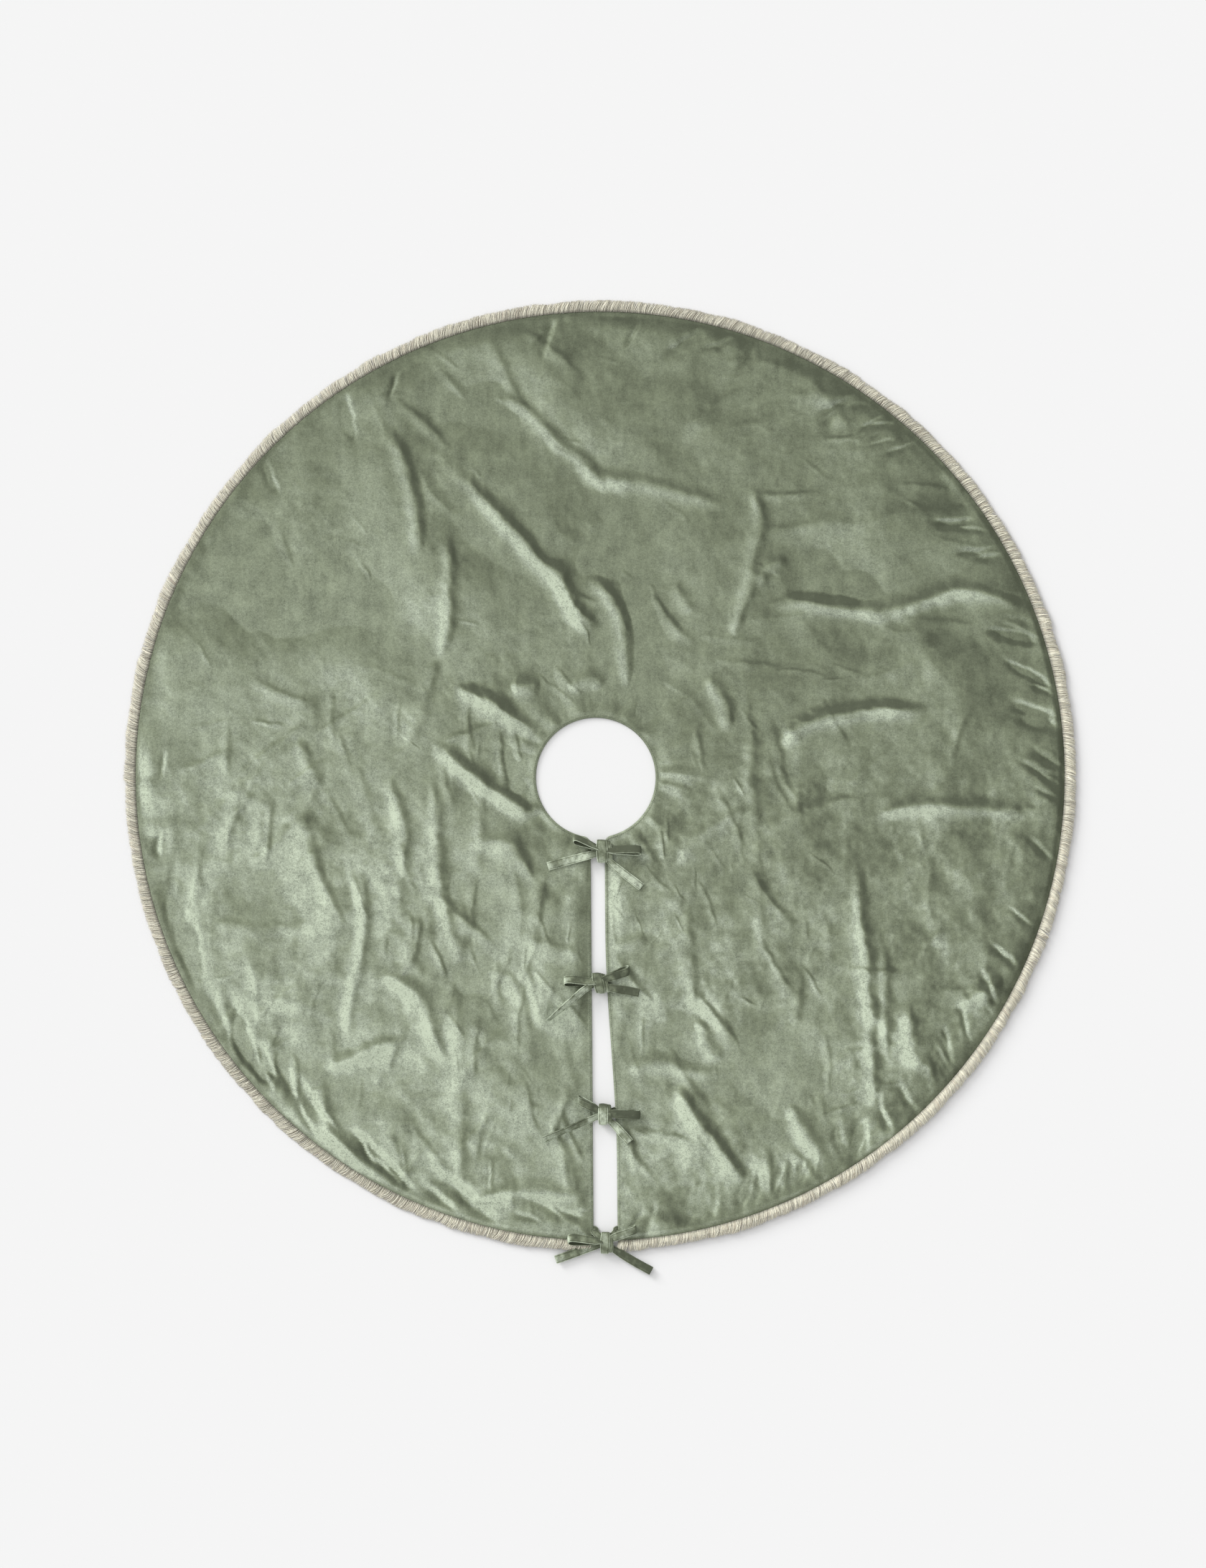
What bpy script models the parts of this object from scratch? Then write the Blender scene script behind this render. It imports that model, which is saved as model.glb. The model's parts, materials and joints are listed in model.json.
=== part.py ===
"""A round velvet tree skirt: face, lining, brush fringe, edge stitching and four bows.

It lies flat on the floor, +Z up. A slit runs from the trunk hole to the hem towards -Y, and four pairs
of ties close it. The skirt beside the slit folds back on both sides, about two lines that run out from
the middle. All sizes are in metres.
"""

import math

import bmesh
import bpy
from mathutils import Vector

# The round of the skirt, as it lies on the floor.
HEM_RADIUS = 0.7445
FRINGE_LENGTH = 0.0175
HOLE_RADIUS = 0.0958
HOLE_CENTRE = Vector((-0.0070, -0.0025))

# The slit. Its left edge is nearly straight. Its right edge swings away from it towards the hem.
SLIT_NECK_GAP = 0.0225
SLIT_HEM_GAP = 0.0385
SLIT_NECK_LEFT = -0.0153
SLIT_HEM_LEFT = -0.0104
SLIT_SWING_START = 0.25
SLIT_SWING_END = 0.62

# The layers from the floor up. Pieces that lie on each other keep the clearance between them.
CLEARANCE = 0.0003
LINING_THICKNESS = 0.0008
SEAM_THICKNESS = 0.0012
VELVET_THICKNESS = 0.0018
THREAD_THICKNESS = 0.0003
LINING_TOP = LINING_THICKNESS
SEAM_BOTTOM = LINING_TOP + CLEARANCE
SEAM_TOP = SEAM_BOTTOM + SEAM_THICKNESS
FACE_BOTTOM = SEAM_TOP + CLEARANCE
FACE_TOP = FACE_BOTTOM + VELVET_THICKNESS
THREAD_BOTTOM = FACE_TOP + CLEARANCE
THREAD_TOP = THREAD_BOTTOM + THREAD_THICKNESS
BOW_BOTTOM = THREAD_TOP + CLEARANCE

# The fringe, its heading tape in the hem seam, and the stitching along the edges. The fringe stands a
# little proud of the velvet, and the bows clear it.
HEADING_WIDTH = 0.010
FRINGE_BOTTOM = 0.0002
FRINGE_PROUD = 0.0004
FRINGE_TOP = FACE_TOP + FRINGE_PROUD
STITCH_INSET = 0.0031
STITCH_WIDTH = 0.0008

# The folds beside the slit: how far round they lie, and the height of the line they turn about.
FLAP_ANGLE = math.radians(45)
FOLD_HEIGHT = 0.015
FOLD_GAP = 0.0006

# The ties and their bows.
TIE_WIDTH = 0.014
TIE_THICKNESS = 0.0020
TAB_LENGTH = 0.010
TIE_TO_EDGE = 0.0010
TAB_TO_TAPE = 0.0047
HEM_TAB_INSET = CLEARANCE + HEADING_WIDTH + TAB_TO_TAPE + TIE_WIDTH / 2
KNOT_GAP = 0.0008
SHORTEST_ARM = 0.0009
NECK_BOW_INSET = 0.0217
ARM_HEIGHT = 0.0045
KNOT_HEIGHT = 0.0135
LOOP_HEIGHT = 0.0095
LAYER_STEP = 0.0001

# Each bow from the neck to the hem: where its knot lies off the slit's middle line, the knot's width
# and length, and the tips of its loops and tails from the knot's centre. A loop also has its breadth.
BOWS = (
    {
        "knot_offset": 0.0084, "knot_size": (0.022, 0.034),
        "left_loop": (-0.0476, 0.0200, 0.013), "left_tail": (-0.0906, -0.0240),
        "right_loop": (0.0604, 0.0000, 0.018), "right_tail": (0.0614, -0.0560),
    },
    {
        "knot_offset": 0.0016, "knot_size": (0.020, 0.026),
        "left_loop": (-0.0585, 0.0020, 0.024), "left_tail": (-0.0855, -0.0620),
        "right_loop": (0.0465, 0.0210, 0.017), "right_tail": (0.0615, -0.0160),
    },
    {
        "knot_offset": 0.0001, "knot_size": (0.018, 0.028),
        "left_loop": (-0.0430, 0.0210, 0.017), "left_tail": (-0.1010, -0.0420),
        "right_loop": (0.0580, -0.0020, 0.018), "right_tail": (0.0400, -0.0460),
    },
    {
        "knot_offset": 0.0027, "knot_size": (0.018, 0.028),
        "left_loop": (-0.0644, 0.0060, 0.026), "left_tail": (-0.0834, -0.0300),
        "right_loop": (0.0446, 0.0200, 0.019), "right_tail": (0.0716, -0.0490),
    },
)
LEFT = -1
RIGHT = 1
SIDE_NAMES = {LEFT: "left", RIGHT: "right"}

# How finely curves are cut into straight runs.
BACK_STEPS = 60
FLAP_STEPS = 12
SLIT_STEPS = 10
NECK_STEPS = 8
LOOP_END_STEPS = 6
KNOT_STEPS = 16

VELVET_GREEN = (0.254, 0.292, 0.209)
LINING_GREEN = (0.330, 0.350, 0.270)
TAPE_CREAM = (0.560, 0.520, 0.420)
YARN_CREAM = (0.640, 0.600, 0.500)
THREAD_GREEN = (0.190, 0.220, 0.150)


def smoothstep(value):
    """Ease from 0 to 1 as the value goes from 0 to 1."""
    part = min(max(value, 0.0), 1.0)
    return part * part * (3.0 - 2.0 * part)


def slit_edge_x(side, depth):
    """The X of one slit edge at a distance below the skirt's centre."""
    along = (depth - HOLE_RADIUS) / (HEM_RADIUS - HOLE_RADIUS)
    left = SLIT_NECK_LEFT + (SLIT_HEM_LEFT - SLIT_NECK_LEFT) * along
    if side == LEFT:
        return left
    swing = (depth - SLIT_SWING_START) / (SLIT_SWING_END - SLIT_SWING_START)
    return left + SLIT_NECK_GAP + (SLIT_HEM_GAP - SLIT_NECK_GAP) * smoothstep(swing)


def slit_middle_x(depth):
    """The X of the slit's middle line at a distance below the skirt's centre."""
    return (slit_edge_x(LEFT, depth) + slit_edge_x(RIGHT, depth)) / 2


def slit_point(side, inset, centre, radius):
    """Where a line that follows a slit edge, set in from it, meets the lower side of a circle."""
    depth = radius - centre.y
    for _ in range(20):
        x = slit_edge_x(side, depth) + side * inset
        depth = math.sqrt(radius**2 - (x - centre.x) ** 2) - centre.y
    return Vector((x, -depth))


def ray_point(angle, offset, centre, radius):
    """Where a ray from the skirt's centre, moved sideways by the offset, meets a circle."""
    along = Vector((math.cos(angle), math.sin(angle)))
    start = offset * Vector((-along.y, along.x))
    to_centre = centre - start
    middle = to_centre.dot(along)
    reach = middle + math.sqrt(radius**2 - to_centre.length_squared + middle**2)
    return start + reach * along


def neck_circle(inset):
    """The circle that lies an inset outside the trunk hole's edge."""
    return HOLE_CENTRE, HOLE_RADIUS + inset


def rim_circle(radius):
    """A circle about the skirt's centre."""
    return Vector((0.0, 0.0)), radius


def fold_angle(side):
    """The direction of the line that a flap folds about."""
    return math.radians(270) + side * FLAP_ANGLE


def back_arc(circle, steps):
    """Points of a circle round the back of the skirt, from the right fold to the left one."""
    start = fold_angle(RIGHT) - math.radians(360)
    end = fold_angle(LEFT)
    points = []
    for step in range(steps + 1):
        angle = start + (end - start) * step / steps
        offset = 0.0
        if step == 0:
            offset = FOLD_GAP / 2
        elif step == steps:
            offset = -FOLD_GAP / 2
        points.append(ray_point(angle, offset, *circle))
    return points


def flap_arc(side, circle, inset, steps):
    """Points of a circle on one flap, from the fold to the slit edge or a line set in from it."""
    start_angle = fold_angle(side)
    start = ray_point(start_angle, -side * FOLD_GAP / 2, *circle)
    end = slit_point(side, inset, *circle)
    centre = circle[0]
    end_angle = math.atan2((end - centre).y, (end - centre).x) % math.tau
    first_angle = math.atan2((start - centre).y, (start - centre).x) % math.tau
    points = [start]
    for step in range(1, steps):
        angle = first_angle + (end_angle - first_angle) * step / steps
        points.append(centre + circle[1] * Vector((math.cos(angle), math.sin(angle))))
    points.append(end)
    return points


def slit_line(side, inset, neck_inset, rim_radius, steps):
    """Points down a slit edge, or a line set in from it, between the neck and a circle at the rim."""
    top = slit_point(side, inset, *neck_circle(neck_inset))
    bottom = slit_point(side, inset, *rim_circle(rim_radius))
    points = [top]
    for step in range(1, steps):
        depth = -(top.y + (bottom.y - top.y) * step / steps)
        points.append(Vector((slit_edge_x(side, depth) + side * inset, -depth)))
    points.append(bottom)
    return points


def add_object(name, mesh, material, parent):
    """Link a mesh as a new object under an empty, with its place kept."""
    obj = bpy.data.objects.new(name, mesh)
    bpy.context.scene.collection.objects.link(obj)
    obj.data.materials.append(material)
    obj.parent = parent
    obj.matrix_parent_inverse = parent.matrix_world.inverted()
    obj.matrix_world = SKIRT_PLACE
    return obj


def finish_mesh(name, shape):
    """Turn a closed bmesh shape into a mesh whose faces point outwards."""
    bmesh.ops.recalc_face_normals(shape, faces=shape.faces)
    mesh = bpy.data.meshes.new(name)
    shape.to_mesh(mesh)
    shape.free()
    return mesh


def strip_mesh(name, inner, outer, bottom, top):
    """A flat plate between two rows of points that run side by side."""
    shape = bmesh.new()
    rows = [
        [shape.verts.new((point.x, point.y, height)) for point in line]
        for line, height in ((inner, bottom), (outer, bottom), (outer, top), (inner, top))
    ]
    for step in range(len(inner) - 1):
        for row in range(4):
            here = rows[row]
            after = rows[(row + 1) % 4]
            shape.faces.new((here[step], here[step + 1], after[step + 1], after[step]))
    shape.faces.new([row[0] for row in rows])
    shape.faces.new([row[-1] for row in reversed(rows)])
    return finish_mesh(name, shape)


def loft_mesh(name, outline, levels):
    """A solid from one outline, repeated at each height and scaled there about its middle."""
    middle = sum(outline, Vector((0.0, 0.0))) / len(outline)
    shape = bmesh.new()
    rings = []
    for height, scale in levels:
        placed = [middle + (point - middle) * scale for point in outline]
        rings.append([shape.verts.new((point.x, point.y, height)) for point in placed])
    count = len(outline)
    for low, high in zip(rings, rings[1:]):
        for step in range(count):
            after = (step + 1) % count
            shape.faces.new((low[step], low[after], high[after], high[step]))
    shape.faces.new(list(reversed(rings[0])))
    shape.faces.new(rings[-1])
    return finish_mesh(name, shape)


def side_profile_mesh(name, outline, start_y, end_y):
    """A solid from an outline of X and Z, carried along Y."""
    shape = bmesh.new()
    near = [shape.verts.new((x, start_y, z)) for x, z in outline]
    far = [shape.verts.new((x, end_y, z)) for x, z in outline]
    count = len(outline)
    for step in range(count):
        after = (step + 1) % count
        shape.faces.new((near[step], near[after], far[after], far[step]))
    shape.faces.new(near)
    shape.faces.new(list(reversed(far)))
    return finish_mesh(name, shape)


def make_material(name, colour, roughness):
    """A plain matte material in a piece's colour."""
    material = bpy.data.materials.new(name)
    material.use_nodes = True
    shader = material.node_tree.nodes["Principled BSDF"]
    shader.inputs["Base Color"].default_value = (*colour, 1.0)
    shader.inputs["Roughness"].default_value = roughness
    shader.inputs["Metallic"].default_value = 0.0
    return material


def make_round_layer(layer, material, bottom, top, neck_inset, homes):
    """A sheet of the whole skirt from neck to hem, as a back and two flaps."""
    neck = neck_circle(neck_inset)
    hem = rim_circle(HEM_RADIUS - neck_inset)
    back = strip_mesh(
        f"{layer}_back", back_arc(neck, BACK_STEPS), back_arc(hem, BACK_STEPS), bottom, top
    )
    add_object(f"{layer}_back", back, material, homes["back"])
    for side, side_name in SIDE_NAMES.items():
        name = f"{layer}_{side_name}_flap"
        neck_points = flap_arc(side, neck, neck_inset, NECK_STEPS)
        slit_points = slit_line(side, neck_inset, neck_inset, HEM_RADIUS - neck_inset, SLIT_STEPS)
        hem_points = flap_arc(side, hem, neck_inset, FLAP_STEPS)
        outline = neck_points + slit_points[1:] + list(reversed(hem_points))[1:]
        add_object(name, loft_mesh(name, outline, ((bottom, 1.0), (top, 1.0))), material, homes[side])


def make_rim_band(layer, material, inner_radius, outer_radius, bottom, top, homes):
    """A band that runs all round the hem between two circles, as a back and two flaps."""
    inner = rim_circle(inner_radius)
    outer = rim_circle(outer_radius)
    back = strip_mesh(
        f"{layer}_back", back_arc(inner, BACK_STEPS), back_arc(outer, BACK_STEPS), bottom, top
    )
    add_object(f"{layer}_back", back, material, homes["back"])
    for side, side_name in SIDE_NAMES.items():
        name = f"{layer}_{side_name}_flap"
        inner_points = flap_arc(side, inner, CLEARANCE, FLAP_STEPS)
        outer_points = flap_arc(side, outer, CLEARANCE, FLAP_STEPS)
        mesh = strip_mesh(name, inner_points, outer_points, bottom, top)
        add_object(name, mesh, material, homes[side])


def make_edge_stitching(material, homes):
    """The thread line that holds the edges flat, round the neck and down both sides of the slit."""
    near = STITCH_INSET
    far = STITCH_INSET + STITCH_WIDTH
    mesh = strip_mesh(
        "edge_stitching_back",
        back_arc(neck_circle(near), BACK_STEPS // 2),
        back_arc(neck_circle(far), BACK_STEPS // 2),
        THREAD_BOTTOM,
        THREAD_TOP,
    )
    add_object("edge_stitching_back", mesh, material, homes["back"])
    for side, side_name in SIDE_NAMES.items():
        name = f"edge_stitching_{side_name}_flap"
        lines = []
        for inset in (near, far):
            neck_points = flap_arc(side, neck_circle(inset), inset, NECK_STEPS)
            slit_points = slit_line(side, inset, inset, HEM_RADIUS - near, SLIT_STEPS)
            lines.append(neck_points + slit_points[1:])
        mesh = strip_mesh(name, *lines, THREAD_BOTTOM, THREAD_TOP)
        add_object(name, mesh, material, homes[side])


def ribbon_outline(side, start, tip, start_breadth, end_breadth, rounded):
    """A ribbon seen from above: a root edge along Y, straight sides and a square or a round end."""
    along = (tip - start).normalized()
    across = Vector((-along.y, along.x)) * side
    root_rise = start_breadth / 2 / abs(along.x)
    outline = [start + Vector((0.0, -root_rise)), start + Vector((0.0, root_rise))]
    half = end_breadth / 2
    if not rounded:
        return outline + [tip + across * half, tip - across * half]
    centre = tip - along * half
    for step in range(LOOP_END_STEPS + 1):
        turn = math.pi * (0.5 - step / LOOP_END_STEPS)
        outline.append(centre + half * (across * math.sin(turn) + along * math.cos(turn)))
    return outline


def knot_outline(centre, width, length):
    """A knot seen from above: an oblong with well-rounded corners."""
    outline = []
    for step in range(KNOT_STEPS):
        angle = math.tau * step / KNOT_STEPS
        sine = math.sin(angle)
        cosine = math.cos(angle)
        x = math.copysign(abs(cosine) ** 0.6, cosine) * width / 2
        y = math.copysign(abs(sine) ** 0.6, sine) * length / 2
        outline.append(centre + Vector((x, y)))
    return outline


def make_tie(index, side, bow, centre, material, home):
    """One tie: its tab in the slit seam, its run to the knot, its loop and its tail.

    The knot's wrap belongs to the right tie. The left tie ends beside it.
    """
    name = f"bow_{index + 1}_{SIDE_NAMES[side]}_tie"
    tab_y = max(centre.y, -(HEM_RADIUS - HEM_TAB_INSET))
    edge_x = slit_edge_x(side, -tab_y)
    half_tie = TIE_WIDTH / 2
    tab_end = edge_x + side * TAB_LENGTH
    rise_far = edge_x - side * TIE_TO_EDGE
    rise_near = rise_far - side * SEAM_THICKNESS
    rise_top = BOW_BOTTOM + ARM_HEIGHT / 2
    profile = (
        (tab_end, SEAM_BOTTOM), (rise_near, SEAM_BOTTOM), (rise_near, rise_top),
        (rise_far, rise_top), (rise_far, SEAM_TOP), (tab_end, SEAM_TOP),
    )
    parts = [side_profile_mesh(name, profile, tab_y - half_tie, tab_y + half_tie)]

    knot_width, knot_length = bow["knot_size"]
    knot_side = centre.x + side * knot_width / 2
    arm_end = knot_side + side * KNOT_GAP if side == LEFT else centre.x
    arm_start = rise_far - side * LAYER_STEP
    arm_low = min(tab_y, centre.y) - half_tie + LAYER_STEP
    arm_high = max(tab_y, centre.y) + half_tie - LAYER_STEP
    arm_profile = (
        (arm_start, BOW_BOTTOM), (arm_end, BOW_BOTTOM),
        (arm_end, BOW_BOTTOM + ARM_HEIGHT), (arm_start, BOW_BOTTOM + ARM_HEIGHT),
    )
    parts.append(side_profile_mesh(name + "_arm", arm_profile, arm_low, arm_high))

    if side == RIGHT:
        outline = knot_outline(centre, knot_width, knot_length)
        bottom = BOW_BOTTOM + LAYER_STEP
        levels = ((bottom, 0.86), (bottom + KNOT_HEIGHT * 0.45, 1.0), (bottom + KNOT_HEIGHT, 0.72))
        parts.append(loft_mesh(name + "_knot", outline, levels))

    root_x = knot_side - side * knot_width * 0.3 if side == RIGHT else arm_end - LAYER_STEP * 5
    loop_x, loop_y, loop_breadth = bow[f"{SIDE_NAMES[side]}_loop"]
    loop_root = Vector((root_x, centre.y + loop_y * 0.12))
    loop_tip = centre + Vector((loop_x, loop_y))
    outline = ribbon_outline(side, loop_root, loop_tip, TIE_WIDTH * 0.8, loop_breadth, True)
    bottom = BOW_BOTTOM + 2 * LAYER_STEP
    levels = ((bottom, 0.9), (bottom + LOOP_HEIGHT * 0.45, 1.0), (bottom + LOOP_HEIGHT, 0.84))
    parts.append(loft_mesh(name + "_loop", outline, levels))

    tail_root = Vector((root_x, centre.y - TIE_WIDTH * 0.3))
    tail_tip = centre + Vector(bow[f"{SIDE_NAMES[side]}_tail"])
    outline = ribbon_outline(side, tail_root, tail_tip, TIE_WIDTH * 0.6, TIE_WIDTH, False)
    bottom = BOW_BOTTOM + 3 * LAYER_STEP
    levels = ((bottom, 1.0), (bottom + TIE_THICKNESS, 1.0))
    parts.append(loft_mesh(name + "_tail", outline, levels))

    tie = add_object(name, parts[0], material, home)
    for mesh in parts[1:]:
        guide = add_object(mesh.name, mesh, material, home)
        guide.hide_render = True
        guide.display_type = "WIRE"
        joined = tie.modifiers.new(mesh.name, "BOOLEAN")
        joined.operation = "UNION"
        joined.object = guide


def bow_centres():
    """The knots' centres, evenly spaced from just below the neck to the hem.

    A knot lies off the slit's middle line, and leaves the left tie room to rise beside it.
    """
    first = HOLE_RADIUS - HOLE_CENTRE.y + NECK_BOW_INSET
    centres = []
    for index, bow in enumerate(BOWS):
        depth = first + (HEM_RADIUS - first) * index / (len(BOWS) - 1)
        left_room = TIE_TO_EDGE + SHORTEST_ARM + KNOT_GAP + bow["knot_size"][0] / 2
        leftmost = slit_edge_x(LEFT, depth) + left_room
        centres.append(Vector((max(slit_middle_x(depth) + bow["knot_offset"], leftmost), -depth)))
    return centres


def add_empty(name, place, turn):
    """An empty that a moving piece hangs under."""
    empty = bpy.data.objects.new(name, None)
    bpy.context.scene.collection.objects.link(empty)
    empty.location = place
    empty.rotation_euler = (0.0, 0.0, turn)
    bpy.context.view_layer.update()
    return empty


for old in list(bpy.data.objects):
    bpy.data.objects.remove(old, do_unlink=True)

CENTRES = bow_centres()
RIM_RADIUS = HEM_RADIUS + FRINGE_LENGTH
HEM_BOW_TAIL = Vector(BOWS[-1]["right_tail"])
TAIL_REACH = -CENTRES[-1].y - HEM_BOW_TAIL.y + TIE_WIDTH / 2 * HEM_BOW_TAIL.x / HEM_BOW_TAIL.length

# The origin is the middle of the floor that the whole object covers, so the last tail moves the
# skirt's own centre a little towards +Y.
CENTRE_SHIFT = (TAIL_REACH - RIM_RADIUS) / 2
SKIRT_CENTRE = Vector((0.0, CENTRE_SHIFT, 0.0))

HOMES = {"back": add_empty("skirt_centre", SKIRT_CENTRE, 0.0)}
SKIRT_PLACE = HOMES["back"].matrix_world.copy()
for flap_side, flap_name in SIDE_NAMES.items():
    fold_line = SKIRT_CENTRE + Vector((0.0, 0.0, FOLD_HEIGHT))
    HOMES[flap_side] = add_empty(f"{flap_name}_flap_fold", fold_line, fold_angle(flap_side))

VELVET = make_material("sage_velvet", VELVET_GREEN, 0.85)
make_round_layer("face", VELVET, FACE_BOTTOM, FACE_TOP, 0.0, HOMES)
LINING = make_material("lining_cotton", LINING_GREEN, 0.9)
make_round_layer("lining", LINING, 0.0, LINING_TOP, CLEARANCE, HOMES)
make_rim_band(
    "fringe_heading", make_material("heading_tape", TAPE_CREAM, 0.9),
    HEM_RADIUS - CLEARANCE - HEADING_WIDTH, HEM_RADIUS - CLEARANCE, SEAM_BOTTOM, SEAM_TOP, HOMES,
)
make_rim_band(
    "fringe", make_material("fringe_yarn", YARN_CREAM, 0.95),
    HEM_RADIUS + CLEARANCE, RIM_RADIUS, FRINGE_BOTTOM, FRINGE_TOP, HOMES,
)
make_edge_stitching(make_material("edge_thread", THREAD_GREEN, 0.8), HOMES)
for bow_index, (bow_shape, bow_centre) in enumerate(zip(BOWS, CENTRES)):
    for tie_side in SIDE_NAMES:
        make_tie(bow_index, tie_side, bow_shape, bow_centre, VELVET, HOMES[tie_side])
bpy.context.view_layer.update()
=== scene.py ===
"""A round velvet tree skirt, laid flat round its trunk hole and tied shut along its slit with four bows.

The sections follow the sewing: lining, heading tape, velvet face, fringe, edge stitching, ties.
"""
import json
import math

import bpy
import numpy as np
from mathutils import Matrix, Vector


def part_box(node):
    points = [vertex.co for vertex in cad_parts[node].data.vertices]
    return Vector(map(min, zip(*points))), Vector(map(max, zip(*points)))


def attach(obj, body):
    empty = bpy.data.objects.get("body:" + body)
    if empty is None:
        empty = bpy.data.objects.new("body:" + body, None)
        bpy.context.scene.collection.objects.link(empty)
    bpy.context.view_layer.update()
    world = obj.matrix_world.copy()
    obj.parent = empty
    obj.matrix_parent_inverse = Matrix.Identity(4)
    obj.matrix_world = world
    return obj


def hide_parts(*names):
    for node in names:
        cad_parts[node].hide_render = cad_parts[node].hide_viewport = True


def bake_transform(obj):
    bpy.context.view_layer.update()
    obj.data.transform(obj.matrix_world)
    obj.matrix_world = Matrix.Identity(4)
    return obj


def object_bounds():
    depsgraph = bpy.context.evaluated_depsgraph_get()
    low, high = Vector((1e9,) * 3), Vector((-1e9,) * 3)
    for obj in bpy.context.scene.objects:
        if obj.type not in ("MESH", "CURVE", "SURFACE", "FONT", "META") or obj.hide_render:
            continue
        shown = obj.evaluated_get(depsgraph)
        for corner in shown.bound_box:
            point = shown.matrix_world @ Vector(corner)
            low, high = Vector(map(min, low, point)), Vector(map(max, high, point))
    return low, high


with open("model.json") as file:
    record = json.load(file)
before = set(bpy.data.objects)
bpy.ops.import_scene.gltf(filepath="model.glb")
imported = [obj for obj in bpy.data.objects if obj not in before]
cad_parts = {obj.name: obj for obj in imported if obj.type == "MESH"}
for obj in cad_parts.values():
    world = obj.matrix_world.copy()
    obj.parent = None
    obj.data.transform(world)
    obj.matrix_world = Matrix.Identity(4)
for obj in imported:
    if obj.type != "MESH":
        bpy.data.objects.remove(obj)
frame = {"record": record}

# ---------------------------------------------------------------- the floor and the camera
# The skirt lies on a plain pale floor, and is seen from straight above, a little off its centre.
cad_low, cad_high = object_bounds()
face_low, face_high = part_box("face_back")
HEM_RADIUS = (face_high.x - face_low.x) / 2
SKIRT_CENTRE = np.array([(face_low.x + face_high.x) / 2, face_high.y - HEM_RADIUS])
CAMERA_HEIGHT = 9.0
VIEW_HEIGHT = 2.5106
VIEW_OFFSET = (0.0046, -0.0126)

camera = bpy.data.objects.new("camera", bpy.data.cameras.new("camera"))
bpy.context.scene.collection.objects.link(camera)
camera.data.sensor_width = 36.0
camera.data.lens = camera.data.sensor_width * CAMERA_HEIGHT / VIEW_HEIGHT
camera.data.clip_end = 100.0
camera.location = (
    SKIRT_CENTRE[0] + VIEW_OFFSET[0], SKIRT_CENTRE[1] + VIEW_OFFSET[1], CAMERA_HEIGHT
)
bpy.context.scene.camera = camera


class Wire:
    """One socket of a material. Sums on it add Math nodes, and node() adds any other node."""

    def __init__(self, tree, socket):
        self.tree = tree
        self.socket = socket

    def node(self, kind, settings, inputs, output=0):
        """Add a node: its settings first, then its inputs by number or name; gives one output."""
        made = self.tree.nodes.new(kind)
        for name, value in settings.items():
            if name == "stops":
                for stop, (place, shade) in zip(made.color_ramp.elements, value):
                    stop.position = place
                    stop.color = (shade, shade, shade, 1.0)
            else:
                setattr(made, name, value)
        for name, value in inputs.items():
            if isinstance(value, Wire):
                self.tree.links.new(value.socket, made.inputs[name])
            else:
                made.inputs[name].default_value = value
        return Wire(self.tree, made.outputs[output])

    def maths(self, operation, *values):
        return self.node("ShaderNodeMath", {"operation": operation}, dict(enumerate(values)))

    def __add__(self, other):
        return self.maths("ADD", self, other)

    def __sub__(self, other):
        return self.maths("SUBTRACT", self, other)

    def __rsub__(self, other):
        return self.maths("SUBTRACT", other, self)

    def __mul__(self, other):
        return self.maths("MULTIPLY", self, other)

    __radd__ = __add__
    __rmul__ = __mul__

    def clipped(self, low, high):
        return self.maths("MAXIMUM", self.maths("MINIMUM", self, high), low)

    def tint(self, colour):
        """The colour times this value."""
        return self.node(
            "ShaderNodeVectorMath", {"operation": "SCALE"}, {0: colour[:3], "Scale": self}
        )


def cloth_material(name, constants):
    """A new material: its first wire, and its Principled shader with the constant values set."""
    material = bpy.data.materials.new(name)
    material.use_nodes = True
    tree = material.node_tree
    shader = tree.nodes["Principled BSDF"]
    for socket, value in constants.items():
        shader.inputs[socket].default_value = value
    return material, Wire(tree, None), shader


def feed(shader, socket, wire):
    """Link a wire to one of the shader's sockets."""
    wire.tree.links.new(wire.socket, shader.inputs[socket])


def feed_bump(shader, wire, strength, depth):
    """Raise the shader's surface by a wire: so many metres where it is 1, at the strength."""
    settings = {"Strength": strength, "Distance": depth, "Height": wire}
    feed(shader, "Normal", wire.node("ShaderNodeBump", {}, settings))


def on_cloth(start):
    """The place on the cloth, in metres, from its UV map."""
    return start.node("ShaderNodeUVMap", {"uv_map": "cloth"}, {})


def vertex_value(start, name):
    """A number that add_value gave to each vertex."""
    return start.node("ShaderNodeAttribute", {"attribute_name": name}, {}, output=2)


def noise(place, scale, detail=4.0, roughness=0.6, stretch=None):
    """Fractal noise from 0 to 1 at a place, with its features about 1/scale metres across."""
    if stretch is not None:
        place = place.node("ShaderNodeVectorMath", {"operation": "MULTIPLY"}, {0: place, 1: stretch})
    return place.node(
        "ShaderNodeTexNoise",
        {"noise_dimensions": "3D"},
        {"Vector": place, "Scale": scale, "Detail": detail, "Roughness": roughness},
    )


FLOOR_SIZE = 40.0
FLOOR_GAP = 0.0002
FLOOR_TONE = (0.925, 0.925, 0.925, 1.0)
bpy.ops.mesh.primitive_plane_add(size=FLOOR_SIZE, location=(0.0, 0.0, cad_low.z - FLOOR_GAP))
floor = bpy.context.object
floor.name = "studio_floor"
floor_paint, start, shader = cloth_material(
    "studio_floor", {"Roughness": 0.9, "Base Color": FLOOR_TONE, "Specular IOR Level": 0.1}
)
floor.data.materials.append(floor_paint)

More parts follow.
